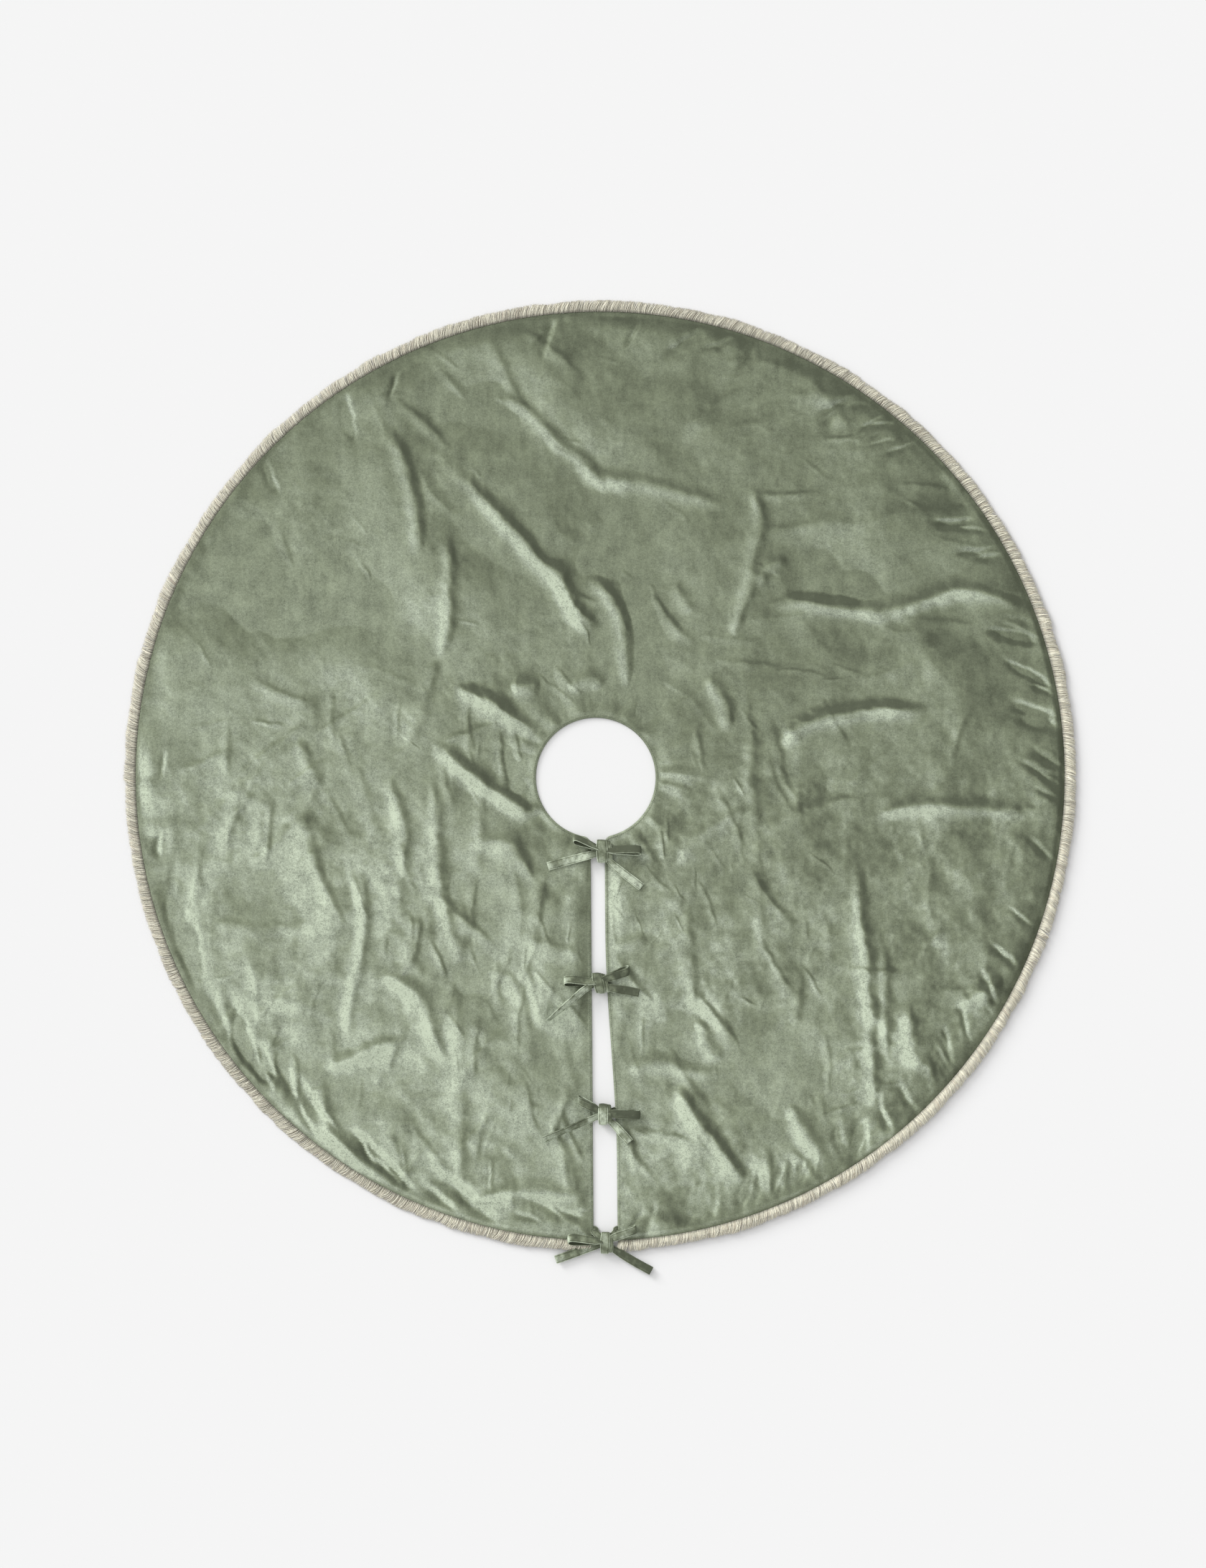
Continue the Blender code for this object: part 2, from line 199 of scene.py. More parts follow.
# ---------------------------------------------------------------- the lining
# Plain woven cotton, cut to the same round as the face and bagged out with it. It lies on the floor,
# and shows only inside the slit and when the skirt is turned back.
hole_low, hole_high = frame["record"]["physics"]["openings"][0]["box_m"]
HOLE_CENTRE = np.array([hole_low[:2], hole_high[:2]]).mean(axis=0) - SKIRT_CENTRE
stitch_low, stitch_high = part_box("edge_stitching_back")
STITCH_OUTER = 0.0039
HOLE_RADIUS = (stitch_high.x - stitch_low.x) / 2 - STITCH_OUTER
NECK_CORNER = 0.013
SLIT_NECK_LEFT = -0.0153
SLIT_HEM_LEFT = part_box("face_left_flap")[1].x
SLIT_NECK_GAP = 0.0225
SLIT_HEM_GAP = 0.0385
SWING_START = 0.25
SWING_END = 0.62
LEFT = -1
RIGHT = 1
CORNER_TRIES = 12
CORNER_SHARE = 0.12
EDGE_LINES = (0.0, 0.0002, 0.0005, 0.001, 0.0018, 0.0028, 0.004)
EVEN_FROM = 0.007
INSET_FADE = 8
LATTICE = 128
LINING_COLUMNS = 120
LINING_ROWS = 70
LINING_INSET = 0.0006
LINING_TONE = (0.330, 0.360, 0.285)


def smooth(value):
    """Ease from 0 to 1 as the value goes from 0 to 1."""
    part = np.clip(value, 0.0, 1.0)
    return part * part * (3.0 - 2.0 * part)


def slit_x(side, y):
    """The slit edge's X at each Y: a straight left edge, and a right edge that swings away from it."""
    along = (-y - HOLE_RADIUS) / (HEM_RADIUS - HOLE_RADIUS)
    left = SLIT_NECK_LEFT + (SLIT_HEM_LEFT - SLIT_NECK_LEFT) * along
    if side == LEFT:
        return left
    swing = smooth((-y - SWING_START) / (SWING_END - SWING_START))
    return left + SLIT_NECK_GAP + (SLIT_HEM_GAP - SLIT_NECK_GAP) * swing


def on_circle(centre, radius, angle):
    """Points of a circle at the angles, as an array of X and Y."""
    return np.stack([centre[0] + radius * np.cos(angle), centre[1] + radius * np.sin(angle)], -1)


def angle_near(x, y, first_angle):
    """The angle of a point round the origin, within half a turn of the first angle."""
    angle = math.atan2(y, x) % math.tau
    return angle + math.tau * round((first_angle - angle) / math.tau)


def neck_path(side, turn, first_angle):
    """The neck edge as turn goes from 0 to 1: round the hole, then round the corner into the slit.

    The corner is an arc that touches the hole's circle and the slit's edge.
    """
    corner_y = -HOLE_RADIUS
    for _ in range(CORNER_TRIES):
        corner_x = slit_x(side, np.array(corner_y)) + side * NECK_CORNER
        across = corner_x - HOLE_CENTRE[0]
        reach = HOLE_RADIUS + NECK_CORNER
        corner_y = HOLE_CENTRE[1] - math.sqrt(reach * reach - across * across)
    last_angle = angle_near(across, corner_y - HOLE_CENTRE[1], first_angle)
    round_hole = np.clip(turn / (1.0 - CORNER_SHARE), 0.0, 1.0)
    round_corner = np.clip((turn - 1.0 + CORNER_SHARE) / CORNER_SHARE, 0.0, 1.0)
    hole_points = on_circle(HOLE_CENTRE, HOLE_RADIUS, first_angle + (last_angle - first_angle) * round_hole)
    start_angle = last_angle + math.pi
    end_angle = 0.0 if side == LEFT else math.pi
    swing = (end_angle - start_angle + math.pi) % math.tau - math.pi
    corner_points = on_circle((corner_x, corner_y), NECK_CORNER, start_angle + swing * round_corner)
    return np.where((turn > 1.0 - CORNER_SHARE)[:, None], corner_points, hole_points)


# Each quarter: the angle it starts at, and the side of the slit it ends at. The right flap's starts at
# the far side from the slit too, so its lines run backwards.
QUARTERS = {
    "back_right": (0.0, 0),
    "back_left": (math.pi / 2, 0),
    "front_left": (math.pi, LEFT),
    "front_right": (math.tau, RIGHT),
}


def quarter_grid(quarter, inset, columns, rows):
    """One quarter of the skirt as a grid of X and Y, with its distance from the nearest cut edge.

    Straight lines run from the neck to the hem, evenly turned about the centre. In a quarter that ends
    at the slit (side is not 0) they lean over to follow the slit's edge. Lines crowd near cut edges.
    """
    first_angle, side = QUARTERS[quarter]
    crowd = np.array(EDGE_LINES)
    length = HEM_RADIUS - HOLE_RADIUS
    first = EVEN_FROM / length
    down = np.concatenate([crowd / length, np.linspace(first, 1 - first, rows), 1 - crowd[::-1] / length])
    last_angle = first_angle + math.pi / 2
    if side == 0:
        turn = np.linspace(0.0, 1.0, columns)
        neck = on_circle(HOLE_CENTRE, HOLE_RADIUS, first_angle + (last_angle - first_angle) * turn)
        hem = on_circle((0.0, 0.0), HEM_RADIUS, first_angle + (last_angle - first_angle) * turn)
    else:
        arc = HEM_RADIUS * math.pi / 2
        turn = np.concatenate([np.linspace(0.0, 1 - EVEN_FROM / arc, columns), 1 - crowd[::-1] / arc])
        neck = neck_path(side, turn, first_angle)
        end_y = -HEM_RADIUS
        for _ in range(CORNER_TRIES):
            end_x = float(slit_x(side, np.array(end_y)))
            end_y = -math.sqrt(HEM_RADIUS * HEM_RADIUS - end_x * end_x)
        end_angle = angle_near(end_x, end_y, first_angle)
        hem = on_circle((0.0, 0.0), HEM_RADIUS, first_angle + (end_angle - first_angle) * turn)
    grid = neck[None] * (1 - down)[:, None, None] + hem[None] * down[:, None, None]
    edge = np.minimum(down, 1 - down)[:, None] * length * np.ones(len(turn))
    if side != 0:
        straight = grid[:, -1]
        bent = slit_x(side, straight[:, 1]) - straight[:, 0]
        grid[..., 0] += bent[:, None] * turn[None] ** 3
        edge = np.minimum(edge, np.linalg.norm(grid - grid[:, -1:], axis=-1))
    outward = grid / np.linalg.norm(grid, axis=-1, keepdims=True)
    away = grid - HOLE_CENTRE
    near_neck = (1 - down)[:, None, None] ** INSET_FADE
    grid = grid - inset * outward * (down[:, None, None] ** INSET_FADE)
    grid = grid + inset * near_neck * away / np.linalg.norm(away, axis=-1, keepdims=True)
    return grid, edge


def add_mesh(name, vertices, quads):
    """A smooth-shaded object of four-sided faces, straight into the mesh."""
    mesh = bpy.data.meshes.new(name)
    mesh.vertices.add(len(vertices))
    mesh.vertices.foreach_set("co", np.asarray(vertices, np.float32).ravel())
    mesh.loops.add(quads.size)
    mesh.loops.foreach_set("vertex_index", quads.astype(np.int32).ravel())
    mesh.polygons.add(len(quads))
    mesh.polygons.foreach_set("loop_start", np.arange(0, quads.size, 4, dtype=np.int32))
    mesh.update(calc_edges=True)
    mesh.shade_smooth()
    mesh.validate()
    obj = bpy.data.objects.new(name, mesh)
    bpy.context.scene.collection.objects.link(obj)
    return obj


def grid_quads(rows, columns, closed=False):
    """Face corners of a grid of points; closed joins the last column to the first."""
    index = np.arange(rows * columns).reshape(rows, columns)
    if closed:
        index = np.concatenate([index, index[:, :1]], axis=1)
    return np.stack([index[:-1, :-1], index[:-1, 1:], index[1:, 1:], index[1:, :-1]], -1).reshape(-1, 4)


def lay_sheet(name, grid, height, faces_up=True):
    """A sheet over a grid of X and Y at the heights, in the frame's place, with its cut as UVs.

    Gives the sheet, and its normal at each point: the cross product of its two gradients.
    """
    rows, columns = height.shape
    points = np.concatenate([grid + SKIRT_CENTRE, height[..., None]], axis=-1)
    quads = grid_quads(rows, columns)
    lean = np.cross(np.gradient(points, axis=1), np.gradient(points, axis=0))
    lean /= np.linalg.norm(lean, axis=-1, keepdims=True)
    if (lean[..., 2].sum() < 0) == faces_up:
        lean = -lean
        quads = quads[:, ::-1]
    sheet = add_mesh(name, points.reshape(-1, 3), quads)
    add_uv(sheet, grid.reshape(-1, 2))
    return sheet, lean


def add_uv(obj, places):
    """The cloth's own coordinates in metres, one pair for each vertex, as a UV map."""
    layer = obj.data.uv_layers.new(name="cloth")
    corner = np.zeros(len(obj.data.loops), np.int32)
    obj.data.loops.foreach_get("vertex_index", corner)
    layer.data.foreach_set("uv", np.asarray(places, np.float32)[corner].ravel())


def add_value(obj, name, values):
    """A number for each vertex, as an attribute."""
    attribute = obj.data.attributes.new(name, "FLOAT", "POINT")
    attribute.data.foreach_set("value", np.asarray(values, np.float32).ravel())


def soft_noise(x, y, size, seed):
    """Random values from -1 to 1 on a square lattice, blended smoothly from each point to the next."""
    lattice = np.random.default_rng(seed).uniform(-1.0, 1.0, (LATTICE, LATTICE))
    column, row = np.floor(x / size).astype(int), np.floor(y / size).astype(int)
    across, up = x / size - column, y / size - row
    across = across**3 * (across * (6 * across - 15) + 10)
    up = up**3 * (up * (6 * up - 15) + 10)
    left, right = column % LATTICE, (column + 1) % LATTICE
    near, far = (
        lattice[line % LATTICE, left] * (1 - across) + lattice[line % LATTICE, right] * across
        for line in (row, row + 1)
    )
    return near * (1 - up) + far * up


def cad_layer(layer, quarter):
    """The layer's solids that a quarter stands for: half the back, and a flap beside the slit."""
    solids = {0: [], LEFT: [f"{layer}_left_flap"], RIGHT: [f"{layer}_right_flap"]}
    return [f"{layer}_back"] + solids[QUARTERS[quarter][1]]


def sew_in(piece, quarter):
    """Let a quarter's piece ride on the back; a piece beside the slit has its place baked into its mesh."""
    side = QUARTERS[quarter][1]
    if side == 0:
        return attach(piece, "back")
    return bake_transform(piece)


lining_paint, start, shader = cloth_material(
    "lining_cotton", {"Roughness": 0.85, "Specular IOR Level": 0.25, "Sheen Weight": 0.1}
)
place = on_cloth(start)
across = place.node("ShaderNodeSeparateXYZ", {}, {0: place})
down = place.node("ShaderNodeSeparateXYZ", {}, {0: place}, output=1)
WEAVE_PITCH = 0.0009
THREADS = math.tau / WEAVE_PITCH
weave = (across * THREADS).maths("SINE", across * THREADS) * down.maths("SINE", down * THREADS)
slub = noise(place, 90.0, stretch=(1.0, 0.08, 1.0))
slub = slub + noise(place, 90.0, stretch=(0.08, 1.0, 1.0))
tone = 0.86 + 0.10 * slub + 0.05 * weave + 0.08 * (noise(place, 9.0) - 0.5)
feed(shader, "Base Color", tone.tint(LINING_TONE))
feed_bump(shader, weave, 0.25, 0.0002)

for quarter in QUARTERS:
    grid, edge = quarter_grid(quarter, LINING_INSET, LINING_COLUMNS, LINING_ROWS)
    x, y = grid[..., 0], grid[..., 1]
    ripple = 0.5 + 0.3 * soft_noise(x, y, 0.05, 51) + 0.2 * soft_noise(x, y, 0.02, 52)
    height = 0.0003 + 0.0012 * ripple * smooth(edge / 0.03)
    piece, lean = lay_sheet(f"lining_{quarter}", grid, height, faces_up=False)
    piece.data.materials.append(lining_paint)
    sew_in(piece, quarter)
    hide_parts(*cad_layer("lining", quarter))

# ---------------------------------------------------------------- the heading tape and its brush fringe
# The fringe is cut cotton yarn, in cream and ecru. The yarns hang from a woven heading tape, which is
# caught in the hem seam between the face and the lining, so only the yarns show.
TAPE_WIDTH = 0.010
TAPE_GAP = 0.0003
TAPE_THICKNESS = 0.0011
TAPE_MIDDLE = 0.0017
TAPE_STEPS = 240
TAPE_SIDES = 8
OVAL_SPREAD = 1.08
TAPE_TONE = (0.560, 0.520, 0.420)
YARN_TONE = (0.705, 0.685, 0.566)
YARN_WARM_TONE = (0.740, 0.650, 0.530)
YARNS_PER_QUARTER = 3600
YARN_THICKNESS = 0.00098
YARN_SIDES = 4
YARN_TAPER = (0.75, 1.0, 1.0, 0.9, 0.55)
YARN_RINGS = len(YARN_TAPER)
YARN_FLATNESS = 0.8
YARN_ROOT = 0.0012
YARN_LIFT = 0.0016
YARN_PILE = 0.0024
FRINGE_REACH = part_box("fringe_back")[1].x - HEM_RADIUS
SLIT_MARGIN = 0.0016


def hem_turns(quarter, count):
    """Even angles from a quarter's start to its end, which at the slit is just short of the edge."""
    first_angle, side = QUARTERS[quarter]
    if side == 0:
        return np.linspace(first_angle, first_angle + math.pi / 2, count)
    end_x = float(slit_x(side, np.array(-HEM_RADIUS))) + side * SLIT_MARGIN
    end_angle = angle_near(end_x, -math.sqrt(HEM_RADIUS * HEM_RADIUS - end_x * end_x), first_angle)
    return np.linspace(first_angle, end_angle, count)


def round_path(radius, angle, height):
    """Points round the skirt's centre at each radius, angle and height, in the frame's place."""
    return np.concatenate([on_circle(SKIRT_CENTRE, radius, angle), height[..., None]], axis=-1)


def end_cap(sides):
    """Quads across a tube's end ring, as rungs from one side of the ring to the other."""
    half = np.arange(sides // 2 - 1)
    return np.stack([half, half + 1, sides - 2 - half, sides - 1 - half], -1)


def rim_lift(x, y):
    """How far the rim has curled up, from 0 to 1: most at the lower right, and none at the upper left."""
    return smooth(0.35 + 0.75 * (0.86 * x - 0.50 * y) / HEM_RADIUS)


def tubes(paths, widths, heights, sides):
    """Closed tubes along many paths at once: each ring is an oval square to its path.

    paths is (tube, ring, 3), widths and heights are (tube, ring). Returns points and quads.
    """
    count, rings = widths.shape
    along = np.gradient(paths, axis=1)
    along /= np.linalg.norm(along, axis=-1, keepdims=True)
    level = np.stack([-along[..., 1], along[..., 0], 0.0 * along[..., 0]], -1)
    level /= np.maximum(np.linalg.norm(level, axis=-1, keepdims=True), 1e-9)
    rise = np.cross(along, level)
    turn = math.tau * (np.arange(sides) + 0.5) / sides
    across = level[:, :, None] * (np.cos(turn) * widths[..., None] / 2)[..., None]
    upward = rise[:, :, None] * (np.sin(turn) * heights[..., None] / 2)[..., None]
    points = paths[:, :, None] + across + upward
    cap = end_cap(sides)
    quads = np.concatenate([grid_quads(rings, sides, closed=True), cap[:, ::-1], cap + (rings - 1) * sides])
    quads = quads[None] + (np.arange(count) * rings * sides)[:, None, None]
    return points.reshape(-1, 3), quads.reshape(-1, 4)


tape_paint, start, shader = cloth_material("heading_tape", {"Roughness": 0.9, "Specular IOR Level": 0.2})
place = on_cloth(start)
rib = noise(place, 900.0, detail=1.0)
feed(shader, "Base Color", (0.8 + 0.4 * rib).tint(TAPE_TONE))
feed_bump(shader, rib, 0.3, 0.0002)

yarn_paint, start, shader = cloth_material(
    "fringe_yarn", {"Roughness": 0.92, "Specular IOR Level": 0.15, "Sheen Weight": 0.15}
)
tone = vertex_value(start, "tone")
warmth = vertex_value(start, "warmth")
place = on_cloth(start)
fibre = noise(place, 1500.0, detail=2.0)
shade = tone * (0.84 + 0.32 * fibre)
tints = {0: warmth, 6: shade.tint(YARN_TONE), 7: shade.tint(YARN_WARM_TONE)}
feed(shader, "Base Color", start.node("ShaderNodeMix", {"data_type": "RGBA"}, tints, output=2))
feed_bump(shader, fibre, 0.5, 0.0003)


def fringe_yarns(quarter, seed):
    """One quarter's yarns: each runs out from the seam, leans with its neighbours and droops.

    A yarn's lean is a slow noise round the hem plus its own small one, so the yarns part in tufts.
    Upper yarns lie on lower ones. Returns points, quads, and a tone (with painted shade and light in it)
    and a warmth for each point.
    """
    draw = np.random.default_rng(seed)
    turn = hem_turns(quarter, YARNS_PER_QUARTER)
    turn = turn + draw.normal(0.0, 0.00025, YARNS_PER_QUARTER)
    around = turn * HEM_RADIUS
    layer = draw.random(YARNS_PER_QUARTER)
    hem_x, hem_y = HEM_RADIUS * np.cos(turn), HEM_RADIUS * np.sin(turn)
    lean = 0.26 * soft_noise(hem_x, hem_y, 0.040, 41) + 0.22 * soft_noise(hem_x, hem_y, 0.007, 42)
    lean += draw.normal(0.0, 0.10, YARNS_PER_QUARTER) - 0.34
    reach = FRINGE_REACH * (0.93 + 0.10 * soft_noise(hem_x, hem_y, 0.028, 43))
    reach += 0.0007 * soft_noise(hem_x, hem_y, 0.006, 44) + draw.normal(0.0, 0.0005, YARNS_PER_QUARTER)
    share = np.linspace(0.0, 1.0, YARN_RINGS)
    out = -YARN_ROOT + (reach[:, None] + YARN_ROOT) * share
    slide = (lean * reach)[:, None] * share**1.4
    slide += 0.00035 * np.sin(share * 5.0 + 6.0 * layer[:, None])
    radius = HEM_RADIUS + out
    angle = turn[:, None] + slide / radius
    lift = YARN_LIFT + YARN_PILE * layer
    height = lift[:, None] * (1 - 0.75 * share**1.8) + 0.0008
    height += 0.0009 * np.sin(share * math.pi) * (0.3 + layer[:, None])
    lifted = rim_lift(hem_x, hem_y)
    height += 0.0064 * lifted[:, None] * np.sin(np.minimum(share * 1.25, 1.0) * math.pi * 0.75)
    paths = round_path(radius, angle, height)
    thick = YARN_THICKNESS * (0.75 + 0.5 * draw.random(YARNS_PER_QUARTER))
    widths = thick[:, None] * np.array(YARN_TAPER)
    points, quads = tubes(paths, widths, YARN_FLATNESS * widths, YARN_SIDES)
    # Painted shade: lower yarns and the roots by the hem are painted darker. The yarns on the lifted rim
    # are painted lighter, as painted light, and each yarn's tone also differs at random.
    tone = (0.62 + 0.50 * layer)[:, None] * (0.62 + 0.38 * smooth(share / 0.35))
    tone = tone * (1.0 + 0.20 * lifted[:, None])
    tone = tone * (1.0 + 0.16 * draw.standard_normal((YARNS_PER_QUARTER, 1)))
    warmth = 0.3 - 0.9 * (layer[:, None] - 0.35) + 0.25 * draw.standard_normal((YARNS_PER_QUARTER, 1))
    for_rings = tone, np.clip(warmth, 0, 1), around[:, None], out
    tone, warmth, around, out = (
        np.repeat(np.broadcast_to(value, tone.shape).ravel(), YARN_SIDES) for value in for_rings
    )
    return points, quads, tone, warmth, np.stack([around, out], -1)


for seed, quarter in enumerate(QUARTERS):
    points, quads, tone, warmth, places = fringe_yarns(quarter, 300 + seed)
    fringe = add_mesh(f"fringe_{quarter}", points, quads)
    add_value(fringe, "tone", tone)
    add_value(fringe, "warmth", warmth)
    add_uv(fringe, places)
    fringe.data.materials.append(yarn_paint)
    sew_in(fringe, quarter)
    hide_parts(*cad_layer("fringe", quarter))

    turn = hem_turns(quarter, TAPE_STEPS)
    path = round_path(HEM_RADIUS - TAPE_GAP - TAPE_WIDTH / 2, turn, 0 * turn + TAPE_MIDDLE)[None]
    size = np.ones((1, TAPE_STEPS))
    points, quads = tubes(path, TAPE_WIDTH * OVAL_SPREAD * size, TAPE_THICKNESS * size, TAPE_SIDES)
    tape = add_mesh(f"heading_tape_{quarter}", points, quads)
    add_uv(tape, points[:, :2])
    tape.data.materials.append(tape_paint)
    sew_in(tape, quarter)
    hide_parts(*cad_layer("fringe_heading", quarter))

# ---------------------------------------------------------------- the velvet face
# Crushed velvet, bagged out over the lining and creased from being folded. Its colour has painted light
# and shade in it: each crease is painted lighter on its lower left flank and darker on the other, with a
# painted highlight beside it, and the whole round is painted lighter towards the lower left and darker
# along the hem and cut edges.
VELVET_COLUMNS = 370
VELVET_ROWS = 240
# The velvet's colour, and the paler colour that it is mixed towards as a painted highlight.
VELVET_SHADE = (0.260, 0.297, 0.198)
VELVET_PAINTED_HIGHLIGHT = (0.260, 0.293, 0.226)
FACE_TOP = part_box("face_back")[1].z
DEEPEST_DIP = 0.0022
EDGE_BOTTOM = 0.0006
EDGE_ROLL = 0.0032
# The way that slopes are painted lighter towards, as painted light and shade: the lower left. The creases
# are also steeper on the side away from it.
PAINTED_LIGHT_WAY = np.array([-0.58, -0.81])
# The darkest and lightest that the painted light and shade may go.
PAINTED_DARKEST = 0.36
PAINTED_LIGHTEST = 2.2
# A painted highlight beside each deep and middle crease: how far it is shifted towards the lower left, and
# its strength.
FLANK_SHIFT = 0.0105
PAINTED_FLANK_HIGHLIGHT = 62.0

# Creases, as points in millimetres from the skirt's centre, by how deep they are.
MM = 0.001
DEEP_CREASES = (
    ((-239, 505), (-168, 427), (-99, 352), (-59, 315), (-36, 266), (-7, 220)),
    ((263, 268), (326, 281), (400, 270), (476, 268), (568, 299), (637, 291), (700, 262)),
    ((286, 48), (315, 76), (372, 96), (453, 111), (533, 107)),
    ((440, -60), (510, -47), (591, -50), (715, -58)),
    ((412, -125), (418, -228), (430, -343), (447, -412)),
    ((119, -487), (165, -561), (246, -665)),
    ((-449, -469), (-432, -561), (-375, -642), (-294, -699)),
    ((-231, 145), (-168, 117), (-105, 71)),
    ((568, -366), (648, -326)),
    ((-265, 53), (-214, 13), (-145, -40), (-108, -60)),
)
MIDDLE_CREASES = (
    ((-18, 323), (22, 278), (45, 197), (48, 128)),
    ((-41, 502), (-1, 479), (62, 470), (131, 456), (217, 433)),
    ((240, 467), (255, 427), (246, 346), (223, 255), (206, 220)),
    ((-334, 559), (-311, 496), (-294, 415), (-292, 346)),
    ((-248, 392), (-239, 323), (-242, 243), (-256, 190)),
    ((-145, 145), (-99, 149)),
    ((-53, 142), (-18, 157), (5, 140)),
    ((119, -142), (165, -90), (234, -50)),
    ((171, 163), (198, 117), (202, 71)),
    ((430, -354), (441, -538)),
    ((453, -263), (458, -446)),
    ((493, -354), (504, -446), (545, -469)),
    ((45, -469), (85, -458), (188, -475)),
    ((298, -515), (361, -619)),
    ((-380, -148), (-377, -228), (-392, -343), (-403, -429)),
    ((-265, 25), (-260, -113), (-248, -205), (-220, -297)),
    ((-352, -314), (-294, -343), (-271, -389), (-254, -458)),
    ((-444, -464), (-386, -446), (-317, -418)),
    ((-225, -688), (-145, -665), (-18, -668)),
    ((-340, 2), (-317, -79), (-317, -148)),
    ((-214, -102), (-145, -113), (-99, -171)),
    ((154, -389), (188, -458)),
    ((249, 300), (272, 338), (300, 345)),
)
FAINT_CREASES = (
    ((-225, 599), (-145, 599), (-99, 570), (-41, 502)),
    ((-256, 190), (-271, 151), (-294, 71), (-346, 2)),
    ((252, -81), (286, -73), (349, -44), (430, -38)),
    ((232, 163), (244, 2), (252, -171), (260, -297)),
    ((119, 310), (154, 263)),
    ((326, -308), (309, -412)),
    ((142, -205), (148, -389)),
    ((-220, -297), (-145, -326), (-116, -400), (-110, -458)),
    ((-231, -308), (-226, -480), (-225, -676)),
    ((-616, -234), (-558, -242), (-478, -245)),
    ((-490, 59), (-570, -16), (-673, -113)),
    ((-490, 59), (-444, -21)),
    ((-122, -263), (-76, -274), (-30, -280)),
    ((16, -274), (74, -257)),
    ((-99, 570), (1, 479)),
    ((294, 606), (360, 612), (426, 596)),
    ((330, 640), (400, 560)),
)
# Each kind's creases, their height and their half width.
CREASE_KINDS = (
    (DEEP_CREASES, 0.0062, 0.0120),
    (MIDDLE_CREASES, 0.0034, 0.0110),
    (FAINT_CREASES, 0.0018, 0.0100),
)


def smooth_line(points, steps):
    """A curve through the points, as a Catmull-Rom spline cut into even steps of its parameter."""
    points = np.array(points, float)
    padded = np.concatenate([2 * points[:1] - points[1:2], points, 2 * points[-1:] - points[-2:-1]])
    place = np.linspace(0.0, len(points) - 1 - 1e-9, steps)
    index = place.astype(int)
    part = (place - index)[:, None]
    a, b, c, d = (padded[index + offset] for offset in range(4))
    return 0.5 * (
        2 * b + (c - a) * part + (2 * a - 5 * b + 4 * c - d) * part**2 + (3 * b - a - 3 * c + d) * part**3
    )


def crease(x, y, points, height, width):
    """A ridge along a curve: a bell across it, steeper on its upper right, fading to its ends."""
    line = smooth_line(points, 8 * len(points)) * MM
    reach = 4 * width
    low, high = line.min(axis=0) - reach, line.max(axis=0) + reach
    near = (x > low[0]) & (x < high[0]) & (y > low[1]) & (y < high[1])
    rise = np.zeros_like(x)
    if not near.any():
        return rise
    spot = np.stack([x[near], y[near]], -1)
    best = np.full(len(spot), 1e9)
    side = np.zeros(len(spot))
    share = np.zeros(len(spot))
    count = len(line) - 1
    for step in range(count):
        start, run = line[step], line[step + 1] - line[step]
        part = np.clip(((spot - start) @ run) / (run @ run), 0.0, 1.0)
        away = spot - start - part[:, None] * run
        distance = np.linalg.norm(away, axis=1)
        closer = distance < best
        best = np.where(closer, distance, best)
        side = np.where(closer, away @ -PAINTED_LIGHT_WAY, side)
        share = np.where(closer, (step + part) / count, share)
    wide = np.where(side > 0, 0.75, 1.15) * width * (0.75 + 0.5 * np.sin(share * math.pi))
    fade = smooth(share / 0.22) * smooth((1 - share) / 0.22)
    rise[near] = height * fade * np.exp(-((best / wide) ** 2))
    return rise


def turned(x, y, heading):
    """How far places lie along a heading, and across it to its left."""
    return x * np.cos(heading) + y * np.sin(heading), y * np.cos(heading) - x * np.sin(heading)


def wrinkles(x, y, heading, size, stretch, seed):
    """Sharp-crested ridges that wander along a heading, stretched along it; from 0 to about 1.

    A crest runs wherever a warped noise passes through zero, and comes and goes in patches.
    """
    along, across = turned(x, y, heading)
    across = across + 0.50 * size * soft_noise(along, across, 1.9 * size, seed + 1)
    along = along + 0.80 * size * soft_noise(along, across, 1.4 * size, seed + 2)
    value = soft_noise(across, along / stretch, size, seed)
    value += 0.6 * soft_noise(across, along / stretch, 0.57 * size, seed + 3)
    patch = smooth(0.5 + 1.1 * soft_noise(along, across, 2.8 * size, seed + 4))
    return (1.0 - np.sqrt(value * value + 0.006)) * patch


def bump(x, y, centre, radius):
    """A soft round patch: 1 at its centre, and falling to a tenth at 1.5 times its radius."""
    return np.exp(-((x - centre[0]) ** 2 + (y - centre[1]) ** 2) / (radius * radius))


PLEAT_COUNT = 400
TUCK_COUNT = 110
UPPER_PART = 0.10
UPPER_DROPPED = 0.62
TUCK_PLACES = [0.45, 3.9, 5.35]
TUCKS_ELSEWHERE = 0.3
PLEAT_SEED = 31


def local_heading(x, y):
    """The way most creases run at a place: up and down below the hole, flatter to the right."""
    if y > UPPER_PART:
        return 0.15 if x > 0.15 else 2.5
    if x > 0.0:
        return 1.9 if x < 0.38 else 0.7
    return 1.55 if x > -0.45 else 0.9


